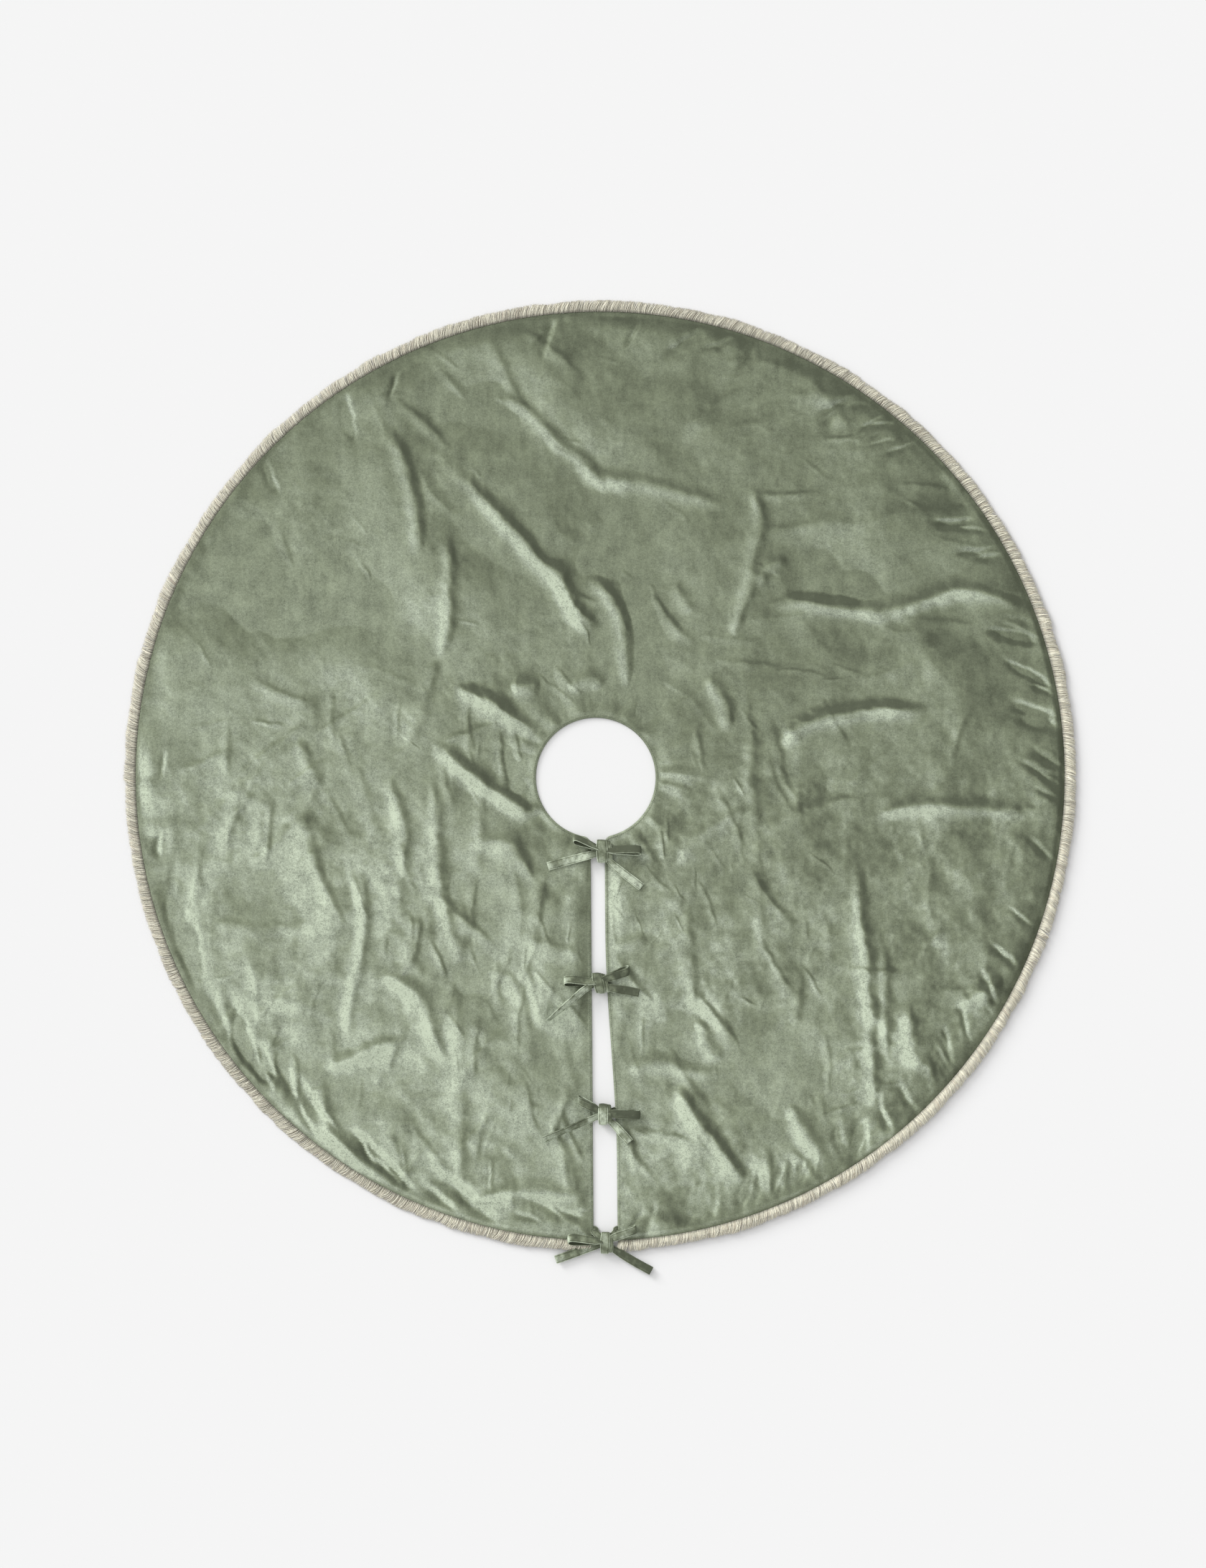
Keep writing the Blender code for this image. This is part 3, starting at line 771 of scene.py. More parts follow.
def scatter_pleats(seed):
    """Small creases laid about the round, as rows of x, y, heading, length, width, height, bend.

    Creases a tenth to a third as high as wide lie anywhere, fewer above the hole. Tucks lie just inside
    the hem, mostly about the angles of TUCK_PLACES, and sink into the cloth.
    """
    rng = np.random.default_rng(seed)
    rows = []
    for _ in range(PLEAT_COUNT):
        turn = rng.uniform(0.0, math.tau)
        radius = HEM_RADIUS * math.sqrt(rng.uniform(0.03, 0.92))
        x, y = radius * math.cos(turn), radius * math.sin(turn)
        if y > UPPER_PART and rng.random() < UPPER_DROPPED:
            continue
        heading = local_heading(x, y) + rng.normal(0.0, 0.38)
        length = 0.022 + 0.080 * rng.random() ** 2.0
        width = length * rng.uniform(0.060, 0.110)
        height = width * rng.uniform(0.10, 0.34) * (1.0 if y < 0.1 else 0.7)
        rows.append((x, y, heading, length, width, height, rng.normal(0.0, 1.4)))
    for _ in range(TUCK_COUNT):
        turn = rng.choice(TUCK_PLACES) + rng.normal(0.0, 0.42)
        if rng.random() < TUCKS_ELSEWHERE:
            turn = rng.uniform(0.0, math.tau)
        radius = HEM_RADIUS - rng.uniform(0.016, 0.050)
        x, y = radius * math.cos(turn), radius * math.sin(turn)
        slant = rng.uniform(0.7, 1.3)
        if 2.5 < turn < 4.7:
            slant = -0.5 * slant + 0.2
        length = rng.uniform(0.026, 0.060) * (1.5 if 3.4 < turn < 4.5 else 1.0)
        width = length * rng.uniform(0.08, 0.14)
        height = -width * rng.uniform(0.35, 0.80)
        rows.append((x, y, turn + math.pi / 2 + slant, length, width, height, 0.0))
    return rows


def pleat(x, y, place):
    """One small crease: a bell across it, steeper on its upper right, fading to both its ends."""
    start_x, start_y, heading, length, width, height, bend = place
    rise = np.zeros_like(x)
    near = (np.abs(x - start_x) < 1.6 * length) & (np.abs(y - start_y) < 1.6 * length)
    if not near.any():
        return rise
    along, across = turned(x[near] - start_x, y[near] - start_y, heading)
    across = across + bend * along * along
    leeward = -turned(*PAINTED_LIGHT_WAY, heading)[1]
    across = across * np.sign(leeward) / width
    bell = np.exp(-np.where(across > 0.0, (across / 0.75) ** 2, (across / 1.5) ** 2))
    rise[near] = height * bell * np.exp(-((along / (0.62 * length)) ** 4))
    return rise


PLEATS = scatter_pleats(PLEAT_SEED)


def relief(x, y, edge):
    """The velvet's height above its flat lie: creases, soft swells, puckers at neck and hem."""
    total = np.zeros_like(x)
    shake_x = x + 0.0016 * soft_noise(x, y, 0.012, 51) + 0.004 * soft_noise(x, y, 0.050, 52)
    shake_y = y + 0.0016 * soft_noise(x, y, 0.012, 53) + 0.004 * soft_noise(x, y, 0.050, 54)
    for creases, height, width in CREASE_KINDS:
        for points in creases:
            total += crease(shake_x, shake_y, points, height, width)
    for place in PLEATS:
        total += pleat(shake_x, shake_y, place)
    lower = smooth((UPPER_PART - y) / 0.25)
    right = smooth((x - 0.10) / 0.25)
    total += 0.0046 * soft_noise(x + 0.3 * y, y, 0.150, 61)
    total += 0.0022 * soft_noise(x, y - 0.2 * x, 0.070, 62)
    total += (0.0004 + 0.0020 * lower) * wrinkles(x, y, 1.50, 0.070, 3.0, 71)
    total += 0.0018 * right * wrinkles(x, y, 0.20, 0.070, 2.6, 73)
    total += 0.0012 * (1.0 - lower) * wrinkles(x, y, 2.20, 0.070, 2.6, 74)
    total += 0.00045 * (0.4 + lower) * soft_noise(x, y, 0.020, 76)
    total += 0.00012 * soft_noise(x, y, 0.009, 77)
    total *= smooth(edge / 0.030)
    radius = np.maximum(np.hypot(x, y), 1e-6)
    from_hem = HEM_RADIUS - radius
    hem_x, hem_y = x / radius * HEM_RADIUS, y / radius * HEM_RADIUS
    tucked = 0.35 + 0.65 * smooth(0.5 + soft_noise(hem_x, hem_y, 0.22, 80))
    gathers = soft_noise(hem_x + 0.2 * radius, hem_y, 0.014, 81)
    total += 0.0011 * tucked * gathers * np.exp(-from_hem / 0.016) * smooth(from_hem / 0.006)
    total += 0.0022 * tucked * soft_noise(hem_x, hem_y, 0.045, 82) * np.exp(-from_hem / 0.040)
    away = np.hypot(x - HOLE_CENTRE[0], y - HOLE_CENTRE[1]) - HOLE_RADIUS
    spoke_x = (x - HOLE_CENTRE[0]) / (away + HOLE_RADIUS)
    spoke_y = (y - HOLE_CENTRE[1]) / (away + HOLE_RADIUS)
    spokes = soft_noise(spoke_x + 0.6 * away, spoke_y, 0.21, 91)
    spokes += 0.5 * soft_noise(spoke_x, spoke_y + away, 0.11, 92)
    lifted = rim_lift(x, y)
    total += 0.0030 * lifted * np.exp(-from_hem / 0.030) * smooth(from_hem / 0.010)
    total += 0.0028 * spokes * np.exp(-away / 0.070) * smooth(away / 0.014)
    return total * smooth(edge / 0.010)


def velvet_height(grid, edge):
    """The velvet's height: its relief over the flat lie, rolled down to the lining at cut edges."""
    x, y = grid[..., 0], grid[..., 1]
    flat = FACE_TOP + np.maximum(relief(x, y, edge), -DEEPEST_DIP)
    roll = 1.0 - np.clip(edge / EDGE_ROLL, 0.0, 1.0)
    return EDGE_BOTTOM + (flat - EDGE_BOTTOM) * np.sqrt(1.0 - roll * roll)


def painted_light_tone(grid, lean, edge):
    """How light the velvet is painted: painted light and shade by its slopes and over the whole round.

    It is the exponential of the slope towards the lower left, times a patchy gain, plus a sum of painted
    light and streaks: broad painted shading, brushed streaks that are a random tone, a painted highlight
    beside each crease, and painted shade on the lifted rim, along the hem and at the cut edges.
    """
    # Painted light and shade by slope: how far the velvet faces the lower left.
    facing = lean[..., 0] * PAINTED_LIGHT_WAY[0] + lean[..., 1] * PAINTED_LIGHT_WAY[1]
    facing *= smooth(edge / 0.012)
    x, y = grid[..., 0], grid[..., 1]
    # Broad painted shading: lighter towards the lower left, with soft painted patches of light and shade.
    painted_light_and_streaks = 0.33 * np.tanh(-(0.62 * x + 0.58 * y) / 0.42)
    painted_light_and_streaks -= 0.03 * bump(x, y, (0.0, 0.0), 0.17) + 0.14 * bump(x, y, (-0.6, 0.35), 0.2)
    painted_light_and_streaks += 0.07 * bump(x, y, (-0.45, -0.20), 0.16) + 0.07 * bump(x, y, (-0.30, -0.55), 0.14)
    lower = smooth((UPPER_PART - y) / 0.25)
    upright = np.where(x > 0.0, 1.85, 1.50)
    along, across = turned(x, y, upright)
    across = across + 0.008 * soft_noise(x, y, 0.030, 64)
    brushed = soft_noise(across, along / 2.6, 0.030, 65) + 0.7 * soft_noise(across, along / 2.2, 0.013, 66)
    brushed += 0.6 * soft_noise(x, y, 0.0075, 67)
    right = smooth((x - 0.05) / 0.30)
    strength = 0.06 + 0.16 * lower * (0.7 + 0.7 * smooth(x / 0.15)) + 0.08 * right
    painted_light_and_streaks += strength * brushed * (0.7 + 0.5 * soft_noise(x, y, 0.16, 68))
    # A painted highlight beside each deep and middle crease, on its lower left flank.
    shift_x, shift_y = FLANK_SHIFT * PAINTED_LIGHT_WAY
    for creases, height, width in CREASE_KINDS[:2]:
        for points in creases:
            painted_light_and_streaks += PAINTED_FLANK_HIGHLIGHT * crease(x - shift_x, y - shift_y, points, height, 0.65 * width)
    # Painted shade on the lifted rim, along the hem and at the cut edges.
    from_hem = HEM_RADIUS - np.hypot(x, y)
    lifted = rim_lift(x, y)
    painted_light_and_streaks -= 0.16 * lifted * np.exp(-from_hem / 0.050)
    painted_light_and_streaks -= 0.36 * np.exp(-from_hem / 0.018) + 0.10 * np.exp(-edge / 0.005)
    # Slopes that face the lower left are painted lighter and the others darker, by a patchy gain.
    facing = facing / np.sqrt(1.0 + (facing / 0.34) ** 2)
    lit = smooth(0.5 + 0.9 * soft_noise(x, y, 0.090, 69))
    shaded = smooth(0.5 + 0.9 * soft_noise(x, y, 0.090, 70))
    gain = np.where(facing > 0.0, 1.9 + 2.2 * lit, 2.1 + 2.4 * shaded)
    return np.clip(np.exp(gain * facing + painted_light_and_streaks), PAINTED_DARKEST, PAINTED_LIGHTEST)


velvet_paint, start, shader = cloth_material(
    "sage_velvet",
    {
        "Specular IOR Level": 0.12, "Sheen Weight": 0.12, "Sheen Roughness": 0.45,
        "Sheen Tint": (0.80, 0.90, 0.74, 1.0),
    },
)
place = on_cloth(start)
# How light each vertex is painted: painted light and shade, with random streaks on the face and random
# crush on the ties.
painted_light_and_crush = vertex_value(start, "painted_light_and_crush")
blotch = noise(place, 34.0, detail=6.0, roughness=0.62)
strength = noise(place, 5.0, detail=2.0)
streaks = noise(place, 70.0, roughness=0.65, stretch=(1.0, 0.30, 1.0))
speck = noise(place, 210.0, detail=4.0, roughness=0.75)
grain = noise(place, 480.0, detail=3.0, roughness=0.7)
crush = (blotch - 0.5) * (0.2 + 1.2 * strength)
mottle = 1.0 * (speck - 0.5) + 1.1 * (grain - 0.5)
patches = 1.1 * crush + 1.1 * strength * (streaks - 0.5)
tone = painted_light_and_crush * (0.99 + patches + (0.4 + 0.6 * painted_light_and_crush) * mottle)
# Where it is painted lightest the velvet turns towards a paler green, as a painted highlight.
painted_highlight_mix = (1.2 * (painted_light_and_crush - 0.7)).clipped(0.0, 1.0)
shade = tone.clipped(0.35, 2.3)
colour = shade.node(
    "ShaderNodeVectorMath", {"operation": "ADD"},
    {0: (shade * (1.0 - painted_highlight_mix)).tint(VELVET_SHADE), 1: (shade * painted_highlight_mix).tint(VELVET_PAINTED_HIGHLIGHT)},
)
feed(shader, "Base Color", colour)
feed(shader, "Roughness", (0.86 - 0.2 * crush).clipped(0.5, 1.0))
feed_bump(shader, 0.5 * grain + 0.5 * speck, 0.5, 0.0006)

for quarter in QUARTERS:
    grid, edge = quarter_grid(quarter, 0.0, VELVET_COLUMNS, VELVET_ROWS)
    height = velvet_height(grid, edge)
    piece, lean = lay_sheet(f"velvet_{quarter}", grid, height)
    add_value(piece, "painted_light_and_crush", painted_light_tone(grid, lean, edge))
    piece.data.materials.append(velvet_paint)
    # Normals of the whole surface, so that the quarters meet unseen.
    piece.data.normals_split_custom_set_from_vertices(lean.reshape(-1, 3).tolist())
    sew_in(piece, quarter)
    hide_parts(*cad_layer("face", quarter))

# ---------------------------------------------------------------- the edge stitching
# A line of small green thread stitches runs just inside the neck and both slit edges. It holds the
# turned edges flat, and pulls a fine groove into the velvet.
STITCH_INSET = 0.0035
STITCH_PITCH = 0.0032
STITCH_LENGTH = 0.0025
STITCH_GRID = (600, 40)
SLIT_STEPS = 400
CORNER_GAP = 0.004
STITCH_RISE = 0.00025
STITCH_SINK = 0.0001
STITCH_TAPER = (0.35, 0.9, 1.0, 0.9, 0.35)
THREAD_WIDTH = 0.0006
THREAD_FLATNESS = 0.8
THREAD_SIDES = 6
THREAD_TONE = (0.105, 0.125, 0.078)

thread_paint, start, shader = cloth_material("edge_thread", {"Roughness": 0.7, "Specular IOR Level": 0.35})
place = start.node("ShaderNodeTexCoord", {}, {}, output=3)
twist = noise(place, 2500.0, detail=1.0)
feed(shader, "Base Color", (0.7 + 0.6 * twist).tint(THREAD_TONE))
feed_bump(shader, twist, 0.3, 0.0001)


def run_along(points):
    """The length run along a line of points, at each point."""
    return np.concatenate([[0.0], np.cumsum(np.linalg.norm(np.diff(points, axis=0), axis=1))])


def stitch_line(quarter):
    """The line that a quarter's stitches follow, inset from its neck and slit edges, evenly cut."""
    side = QUARTERS[quarter][1]
    grid, _ = quarter_grid(quarter, 0.0, *STITCH_GRID)
    away = grid[0] - HOLE_CENTRE
    line = HOLE_CENTRE + away * (1 + STITCH_INSET / np.linalg.norm(away, axis=-1, keepdims=True))
    if side != 0:
        line = line[side * (line[:, 0] - slit_x(side, line[:, 1])) > STITCH_INSET]
        depth = np.linspace(-line[-1, 1] + CORNER_GAP, HEM_RADIUS - STITCH_INSET, SLIT_STEPS)
        slit = np.stack([slit_x(side, -depth) + side * STITCH_INSET, -depth], -1)
        line = np.concatenate([line, slit])
    return line, run_along(line)


for quarter in QUARTERS:
    line, run = stitch_line(quarter)
    middle = np.arange(0.5, math.floor(run[-1] / STITCH_PITCH)) * STITCH_PITCH
    part = np.linspace(-0.5, 0.5, len(STITCH_TAPER))
    spot = middle[:, None] + part * STITCH_LENGTH
    x = np.interp(spot, run, line[:, 0])
    y = np.interp(spot, run, line[:, 1])
    height = velvet_height(np.stack([x, y], -1), STITCH_INSET + 0 * x)
    height += STITCH_RISE * np.cos(part * math.pi) - STITCH_SINK
    paths = np.stack([x + SKIRT_CENTRE[0], y + SKIRT_CENTRE[1], height], -1)
    widths = THREAD_WIDTH * np.array(STITCH_TAPER) * np.ones((len(middle), 1))
    points, quads = tubes(paths, widths, THREAD_FLATNESS * widths, THREAD_SIDES)
    stitches = add_mesh(f"edge_stitching_{quarter}", points, quads)
    stitches.data.materials.append(thread_paint)
    sew_in(stitches, quarter)
    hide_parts(*cad_layer("edge_stitching", quarter))

# ---------------------------------------------------------------- the ties, tied in four bows
# Each tie is a narrow tube of the velvet, turned, pressed flat and caught in the slit seam. Two ties
# make a bow: each runs to the knot, makes a loop and ends in a square tail. The right one wraps over.
TIE_WIDTH = 14.0
TIE_THICKNESS = 2.3
TIE_STEPS = 90
TIE_ROUND = 28
END_ROUNDING = 1.1
STRIP_SPACING = 37.0
NECK_BOW_INSET = 0.0217
TAB_MIDDLE = 1.8
HEM_TAB_INSET = 0.0175
REST_HEIGHT = 6.4
KNOT_BOTTOM = 5.6
OFF_EDGE = 0.05
TIE_LIGHT = 1.10

# Each bow, in millimetres from its knot's centre. A knot has its middle, the breadth of its wrap, its
# half length, its top and its slant. A loop has its tip, how it leans, how far it opens, and the painted
# lightness of its outer and its returning strands, as painted light and shade. A tail has its points,
# each with its lean and painted lightness.
BOWS = (
    {
        "offset": 0.0084,
        "knot": (-1.5, 0.0, 17.0, 17.5, 15.5, 2.0),
        "left_loop": ((-47.0, 20.0), -46, 8.0, (1.15, 0.50)),
        "right_loop": ((60.5, 1.0), -30, 9.0, (0.55, 1.15)),
        "left_tail": ((-4, -2, 0, 1.0), (-24, -7, 0, 1.15), (-58, -16, 0, 1.2), (-88.5, -24.5, 0, 1.2)),
        "right_tail": ((3, -8, 20, 0.8), (18, -23, 12, 1.0), (40, -40.5, 12, 1.0), (62, -57.5, 8, 0.95)),
    },
    {
        "offset": 0.0016,
        "knot": (-2.5, -3.0, 16.0, 15.5, 15.0, 14.0),
        "left_loop": ((-57.5, 1.0), -27, 12.0, (1.15, 0.45)),
        "right_loop": ((46.0, 18.5), 22, 10.0, (0.50, 1.0)),
        "left_tail": ((-6, -2, 10, 0.8), (-24, -12, 25, 1.0), (-50, -34, 40, 1.1), (-84, -62.5, 62, 1.0)),
        "right_tail": ((4, -7, 0, 0.6), (22, -11.5, 4, 0.55), (42, -15, 4, 0.5), (62, -18.5, 0, 0.55)),
    },
    {
        "offset": 0.0001,
        "knot": (-1.5, -4.5, 15.0, 16.0, 15.0, 0.0),
        "left_loop": ((-40.5, 19.0), 20, 6.0, (0.50, 1.2)),
        "right_loop": ((57.0, -5.0), 10, 8.0, (0.45, 1.0)),
        "left_tail": ((-5, -6, 10, 1.0), (-34, -18, 30, 0.95), (-64, -31, 45, 0.7), (-98, -45.5, 35, 0.85)),
        "right_tail": ((8, -14, 0, 0.9), (19, -24, 0, 1.05), (30, -36, 4, 1.05), (41.5, -49, 8, 1.0)),
    },
    {
        "offset": 0.0027,
        "knot": (-3.5, -2.0, 14.0, 16.5, 15.0, -2.0),
        "left_loop": ((-62.5, 4.0), -32, 12.0, (1.1, 0.38)),
        "right_loop": ((45.5, 20.5), 14, 6.0, (0.85, 1.0)),
        "left_tail": ((-5, -3, 0, 0.9), (-28, -10, 0, 0.95), (-56, -20, 4, 0.95), (-83.0, -29.5, 0, 0.95)),
        "right_tail": ((5, -9, 0, 0.6), (24, -21, 0, 0.55), (46, -34, 4, 0.5), (70.5, -47.5, 0, 0.6)),
    },
)


def resample(rows, steps):
    """Rows of numbers joined by a smooth curve, cut evenly along its first three columns."""
    fine = smooth_line(rows, 40 * len(rows))
    run = run_along(fine[:, :3])
    even = np.linspace(0.0, run[-1], steps)
    return np.stack([np.interp(even, run, column) for column in fine.T], -1)


def flat_tube(rows, axis, seed, capped=True):
    """A pressed velvet tube along rows of x, y, z, width (in millimetres) and tone, a painted lightness.

    Its section is a flat oval with a groove beside each edge, where its seam allowance ends inside. The
    width lies along the axis, squared to the path, and capped rounds and closes both its ends. Returns
    points, tones (painted light and shade, with random crush), places and quads.
    """
    path, width, tone = rows[:, :3], rows[:, 3], rows[:, 4]
    steps = len(path)
    along = np.gradient(path, axis=0)
    along /= np.linalg.norm(along, axis=1, keepdims=True)
    wide = axis - (axis * along).sum(1, keepdims=True) * along
    wide /= np.linalg.norm(wide, axis=1, keepdims=True)
    up = np.cross(along, wide)
    run = run_along(path)
    near_end = np.minimum(run, run[-1] - run) if capped else np.full(steps, END_ROUNDING)
    rounding = np.sqrt(1.0 - (1.0 - np.clip(near_end / END_ROUNDING, 0.0, 1.0)) ** 2)
    turn = math.tau * np.arange(TIE_ROUND) / TIE_ROUND
    across = np.sign(np.cos(turn)) * np.abs(np.cos(turn)) ** 0.62
    bulge = np.sign(np.sin(turn)) * np.abs(np.sin(turn)) ** 0.55
    groove = 1.0 - 0.38 * np.exp(-(((np.abs(across) - 0.73) / 0.085) ** 2))
    run_there, across_there = np.broadcast_arrays(run[:, None], TIE_WIDTH / 2 * across)
    crush = 0.34 * soft_noise(run_there, across_there, 6.0, seed)
    crush += 0.30 * soft_noise(run_there / 3, across_there, 5.0, seed + 1)
    pinch = TIE_WIDTH / np.maximum(width, 6.0)
    half_thick = TIE_THICKNESS / 2 * pinch[:, None] ** 0.6 * bulge * groove
    half_thick = half_thick * (0.12 + 0.88 * rounding[:, None])
    side = (width / 2 * (0.93 + 0.07 * rounding))[:, None] * across
    points = path[:, None] + wide[:, None] * side[..., None]
    points += up[:, None] * (half_thick + crush)[..., None]
    normal = np.cross(np.gradient(points, axis=0), np.roll(points, -1, 1) - np.roll(points, 1, 1))
    normal /= np.maximum(np.linalg.norm(normal, axis=-1, keepdims=True), 1e-9)
    outward = (normal * (points - path[:, None])).sum(-1).mean() > 0
    normal = normal if outward else -normal
    # Painted light and shade: lighter where the surface faces the lower left, with a painted highlight
    # along both edges.
    facing = normal[..., 0] * PAINTED_LIGHT_WAY[0] + normal[..., 1] * PAINTED_LIGHT_WAY[1]
    rim = smooth((np.abs(across) - 0.80) / 0.15)
    light = tone[:, None] * np.exp(1.0 * facing + 0.30 * rim)
    # Painted shade in the groove beside each edge, then random crush in the tone.
    light *= 1.0 - 0.52 * np.exp(-(((np.abs(across) - 0.73) / 0.07) ** 2)) * np.ones((steps, 1))
    light *= 1.0 + 0.26 * soft_noise(run_there, across_there, 5.0, seed + 2)
    light *= 1.0 + 0.30 * soft_noise(run, 0.0 * run, 15.0, seed + 3)[:, None]
    places = np.stack([run_there + STRIP_SPACING * seed, across_there], -1) * MM
    quads = grid_quads(steps, TIE_ROUND, closed=True)
    if not outward:
        quads = quads[:, ::-1]
    if capped:
        cap = (end_cap(TIE_ROUND) + 1) % TIE_ROUND
        cap = cap if outward else cap[:, ::-1]
        quads = np.concatenate([quads, cap, cap[:, ::-1] + (steps - 1) * TIE_ROUND])
    return points.reshape(-1, 3), light.ravel(), places.reshape(-1, 2), quads


def leaning(angle):
    """A width axis that leans from level, along Y, by an angle in degrees (or by one for each row)."""
    lean = np.radians(np.asarray(angle, float))
    return np.stack([0 * lean, np.cos(lean), np.sin(lean)], -1)


def rest(x, y, knot):
    """How high in millimetres a tie lies on the velvet at a place that is given from the knot."""
    spot = np.array([[knot[0] + x * MM, knot[1] + y * MM]])
    bump_height = max(0.0, relief(spot[:, 0], spot[:, 1], np.array([OFF_EDGE]))[0]) / MM
    inside = smooth((HEM_RADIUS - math.hypot(*spot[0])) / 0.02)
    return REST_HEIGHT + bump_height * float(inside)


def loop_rows(tip, lean, opening, tones, root, top):
    """A loop: a band that runs out to its tip, round, and back, as a teardrop across its width axis."""
    axis = leaning(lean)
    outward = np.array([tip[0] - root[0], tip[1] - root[1], 0.0])
    reach = np.linalg.norm(outward)
    outward /= reach
    apart = np.cross(axis, outward)
    apart *= np.sign(apart[2])
    share = np.linspace(0.0, 1.0, 41)
    out = reach * np.sin(share * math.pi) ** 0.82
    gap = 0.5 * opening * np.sin(share * math.tau) * (1.0 - 0.35 * np.cos(share * math.tau))
    rise = top + 1.5 * np.sin(share * math.pi)
    path = np.array([root[0], root[1], 0.0]) + out[:, None] * outward + gap[:, None] * apart
    path[:, 2] += rise
    width = TIE_WIDTH * (0.62 + 0.38 * smooth(out / 16.0))
    # Painted light and shade: each strand has its given lightness, and the loop is painted darker near the
    # knot.
    tone = tones[0] + (tones[1] - tones[0]) * smooth((share - 0.44) / 0.12)
    tone = tone * (0.70 + 0.30 * smooth(out / 14.0))
    return np.column_stack([path, width, tone, np.tile(axis, (len(share), 1))])


def tail_rows(points, knot):
    """A tail: from under the knot down to the velvet, and along it to its cut end."""
    rows = []
    for index, (x, y, lean, tone) in enumerate(points):
        low = rest(x, y, knot) + abs(math.sin(math.radians(lean))) * TIE_WIDTH / 2
        rows.append((x, y, (9.5, low + 0.6, low, low)[index], (9.5, 13.0, 14.0, 14.0)[index], tone, lean))
    return np.array(rows)


def seam_rows(side, knot, slit_edge, middle):
    """The lead: from between the face and the lining, out at the slit's edge and up to the knot."""
    edge_x = (slit_edge - knot[0]) / MM
    tab_y = (max(knot[1], -(HEM_RADIUS - HEM_TAB_INSET)) - knot[1]) / MM
    # Each row is x, y, z, width and a painted lightness, painted darker as the lead runs in under the knot.
    return np.array([
        (edge_x + side * 9.0, tab_y, TAB_MIDDLE, 14.0, 0.8),
        (edge_x + side * 2.0, tab_y, TAB_MIDDLE, 14.0, 0.8),
        (edge_x - side * 1.6, tab_y, TAB_MIDDLE + 1.4, 13.5, 0.85),
        (edge_x - side * 3.4, tab_y * 0.8, 6.0, 12.0, 0.8),
        (middle[0] - side * 1.0, middle[1], 8.0, 9.0, 0.7),
    ])


def knot_rows(middle, breadth, half_length, top, slant):
    """The wrap: a band once round the bundle, as a rounded oblong ring that runs over and under."""
    turn = math.tau * np.arange(TIE_STEPS) / TIE_STEPS
    centre = (top + KNOT_BOTTOM) / 2
    y = half_length * np.sign(np.cos(turn)) * np.abs(np.cos(turn)) ** 0.75
    z = centre + (top - KNOT_BOTTOM) / 2 * np.sign(np.sin(turn)) * np.abs(np.sin(turn)) ** 0.75
    x = -math.tan(math.radians(slant)) * y
    path = np.column_stack([middle[0] + x, middle[1] + y, z])
    width = breadth * (1.0 - 0.10 * np.cos(2 * turn))
    # Painted light: the wrap is lighter at its upper end and darker at its lower end.
    tone = 1.05 + 0.10 * np.cos(turn)
    return np.column_stack([path, width, tone])


def tie_strips(index, side, bow, knot):
    """All the strips of one tie: lead, loop, tail and, on the right, the two turns of the wrap."""
    name = "left" if side == LEFT else "right"
    middle_x, middle_y, breadth, half_length, top, slant = bow["knot"]
    middle = (middle_x, middle_y)
    lead = resample(seam_rows(side, knot, float(slit_x(side, np.array(knot[1]))), middle), TIE_STEPS)
    heading = np.gradient(lead[:, :3], axis=0)
    level = np.stack([-heading[:, 1], heading[:, 0], 0 * heading[:, 0]], -1)
    strips = [flat_tube(lead, level, 400 + index * 20 + side)]
    tip, lean, opening, tones = bow[f"{name}_loop"]
    root = (middle_x + side * breadth * 0.22, middle_y + 2.0 + 0.12 * tip[1])
    top_height = 10.2 + 0.25 * opening + 2.0 * abs(math.sin(math.radians(lean)))
    rows = resample(loop_rows(tip, lean, opening, tones, root, top_height), TIE_STEPS)
    strips.append(flat_tube(rows[:, :5], rows[:, 5:], 410 + index * 20 + side))
    rows = resample(tail_rows(bow[f"{name}_tail"], knot), TIE_STEPS)
    strips.append(flat_tube(rows[:, :5], leaning(rows[:, 5]), 500 + index * 20 + side))
    if side == RIGHT:
        flat = np.tile(np.array([1.0, 0.0, 0.0]), (TIE_STEPS, 1))
        wrap = knot_rows(middle, breadth, half_length, top, slant)
        strips.append(flat_tube(wrap, flat, 600 + index, capped=False))
        second = (middle_x + breadth * 0.60, middle_y + 0.5)
        wrap = knot_rows(second, breadth * 0.62, half_length * 0.86, top - 2.0, slant + 4.0)
        # The second turn is painted darker, as painted shade.
        wrap[:, 4] *= 0.72
        strips.append(flat_tube(wrap, flat, 610 + index, capped=False))
    return strips


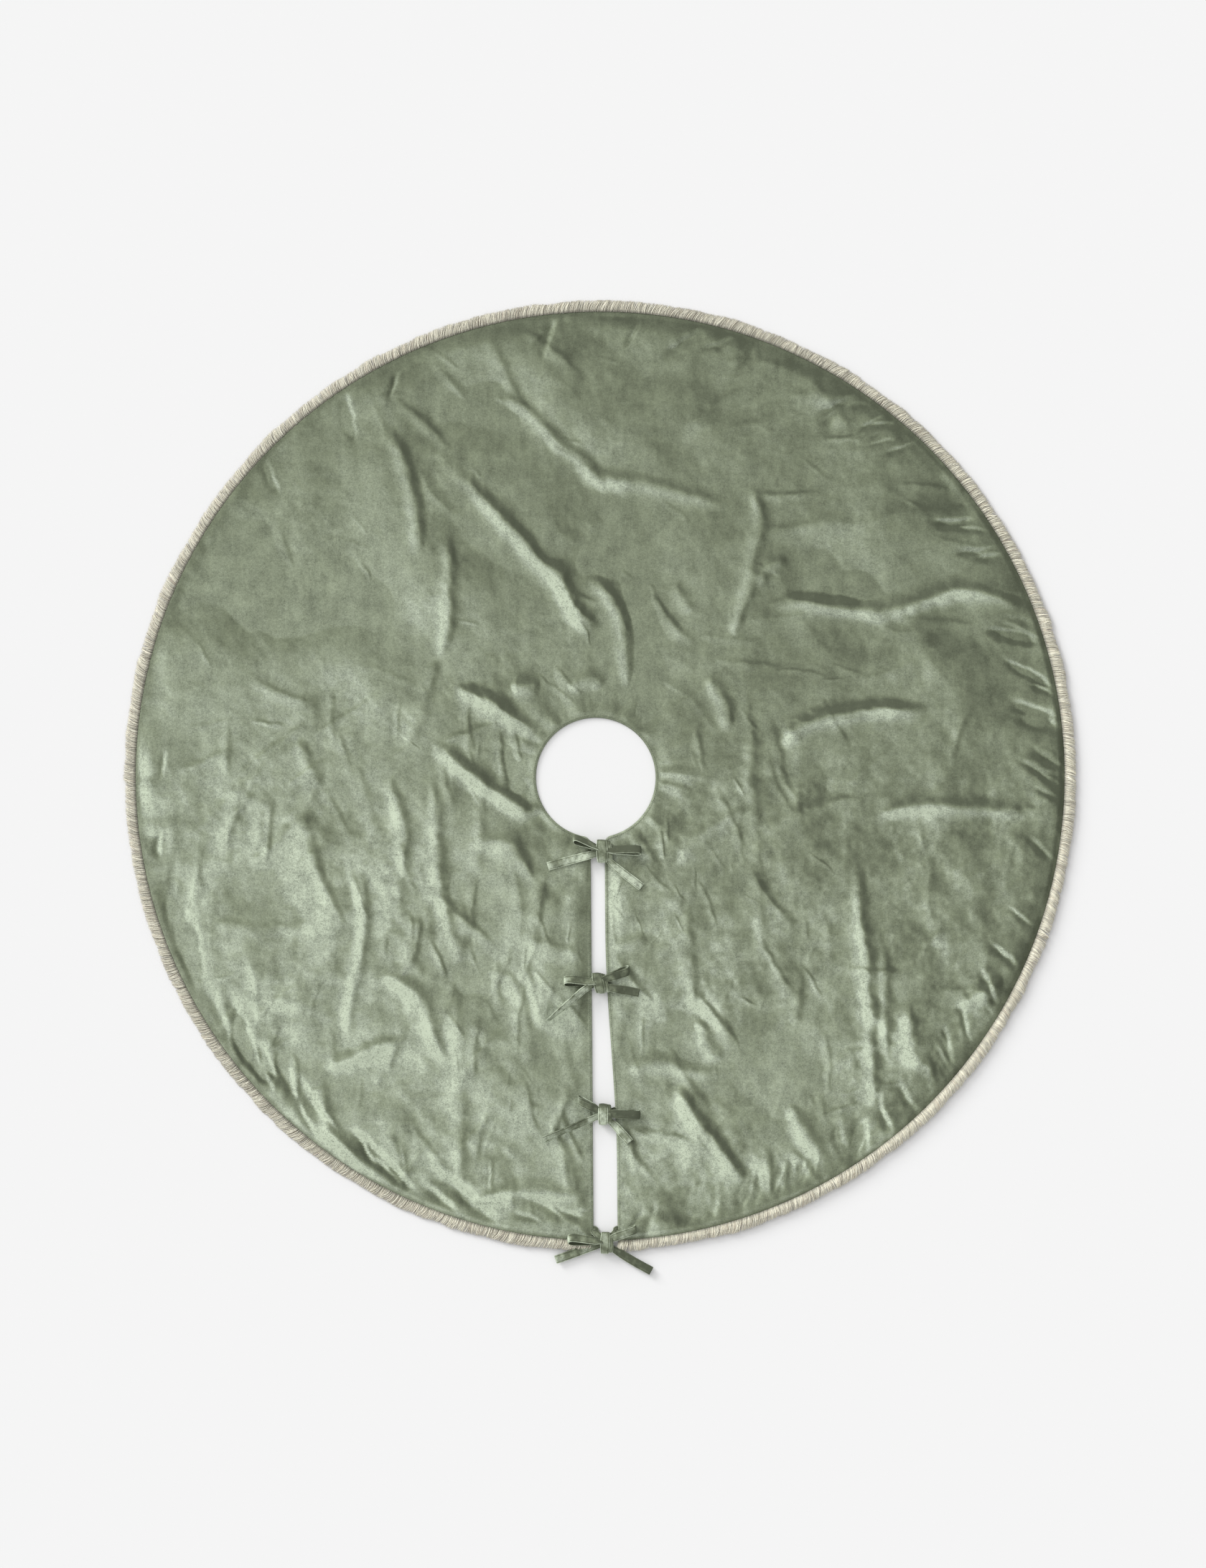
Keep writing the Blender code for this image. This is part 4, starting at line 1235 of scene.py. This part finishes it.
first_depth = HOLE_RADIUS - HOLE_CENTRE[1] + NECK_BOW_INSET
for index, bow in enumerate(BOWS):
    depth = first_depth + (HEM_RADIUS - first_depth) * index / (len(BOWS) - 1)
    edges = [float(slit_x(side, np.array(-depth))) for side in (LEFT, RIGHT)]
    knot = (sum(edges) / 2 + bow["offset"], -depth)
    for side, name in ((LEFT, "left"), (RIGHT, "right")):
        strips = tie_strips(index, side, bow, knot)
        counts = np.cumsum([0] + [len(strip[0]) for strip in strips])
        points = np.concatenate([strip[0] for strip in strips]) * MM
        points[:, :2] += SKIRT_CENTRE + np.array(knot)
        quads = np.concatenate([strip[3] + start for strip, start in zip(strips, counts)])
        tie = add_mesh(f"bow_{index + 1}_{name}_tie_velvet", points, quads)
        # The ties' painted light and shade, given more contrast and made a little lighter.
        add_value(tie, "painted_light_and_crush", np.concatenate([strip[1] for strip in strips]) ** 1.5 * TIE_LIGHT)
        add_uv(tie, np.concatenate([strip[2] for strip in strips]))
        tie.data.materials.append(velvet_paint)
        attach(tie, f"{name}_flap")
        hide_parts(f"bow_{index + 1}_{name}_tie")

# ---------------------------------------------------------------- the studio light
# Plain soft light from all round, with two broad soft lamps from the upper left, one high and one low.
# The low one is the stronger, and draws the shadows of the creases.
SKY_STRENGTH = 0.63
world = bpy.data.worlds.new("studio")
bpy.context.scene.world = world
world.use_nodes = True
background = world.node_tree.nodes["Background"]
background.inputs["Color"].default_value = (1.0, 1.0, 1.0, 1.0)
background.inputs["Strength"].default_value = SKY_STRENGTH
# Each lamp: its strength, the way it comes from, how far it is tilted from overhead, and its breadth.
for name, strength, heading, tilt, breadth in (
    ("high_lamp", 0.55, 140, 40, 34),
    ("low_lamp", 1.80, 136, 67, 22),
):
    lamp = bpy.data.objects.new(name, bpy.data.lights.new(name, "SUN"))
    bpy.context.scene.collection.objects.link(lamp)
    lamp.data.energy = strength
    lamp.data.angle = math.radians(breadth)
    lamp.rotation_euler = (math.radians(tilt), 0.0, math.radians(heading + 90))
bpy.context.scene.view_settings.view_transform = "Standard"
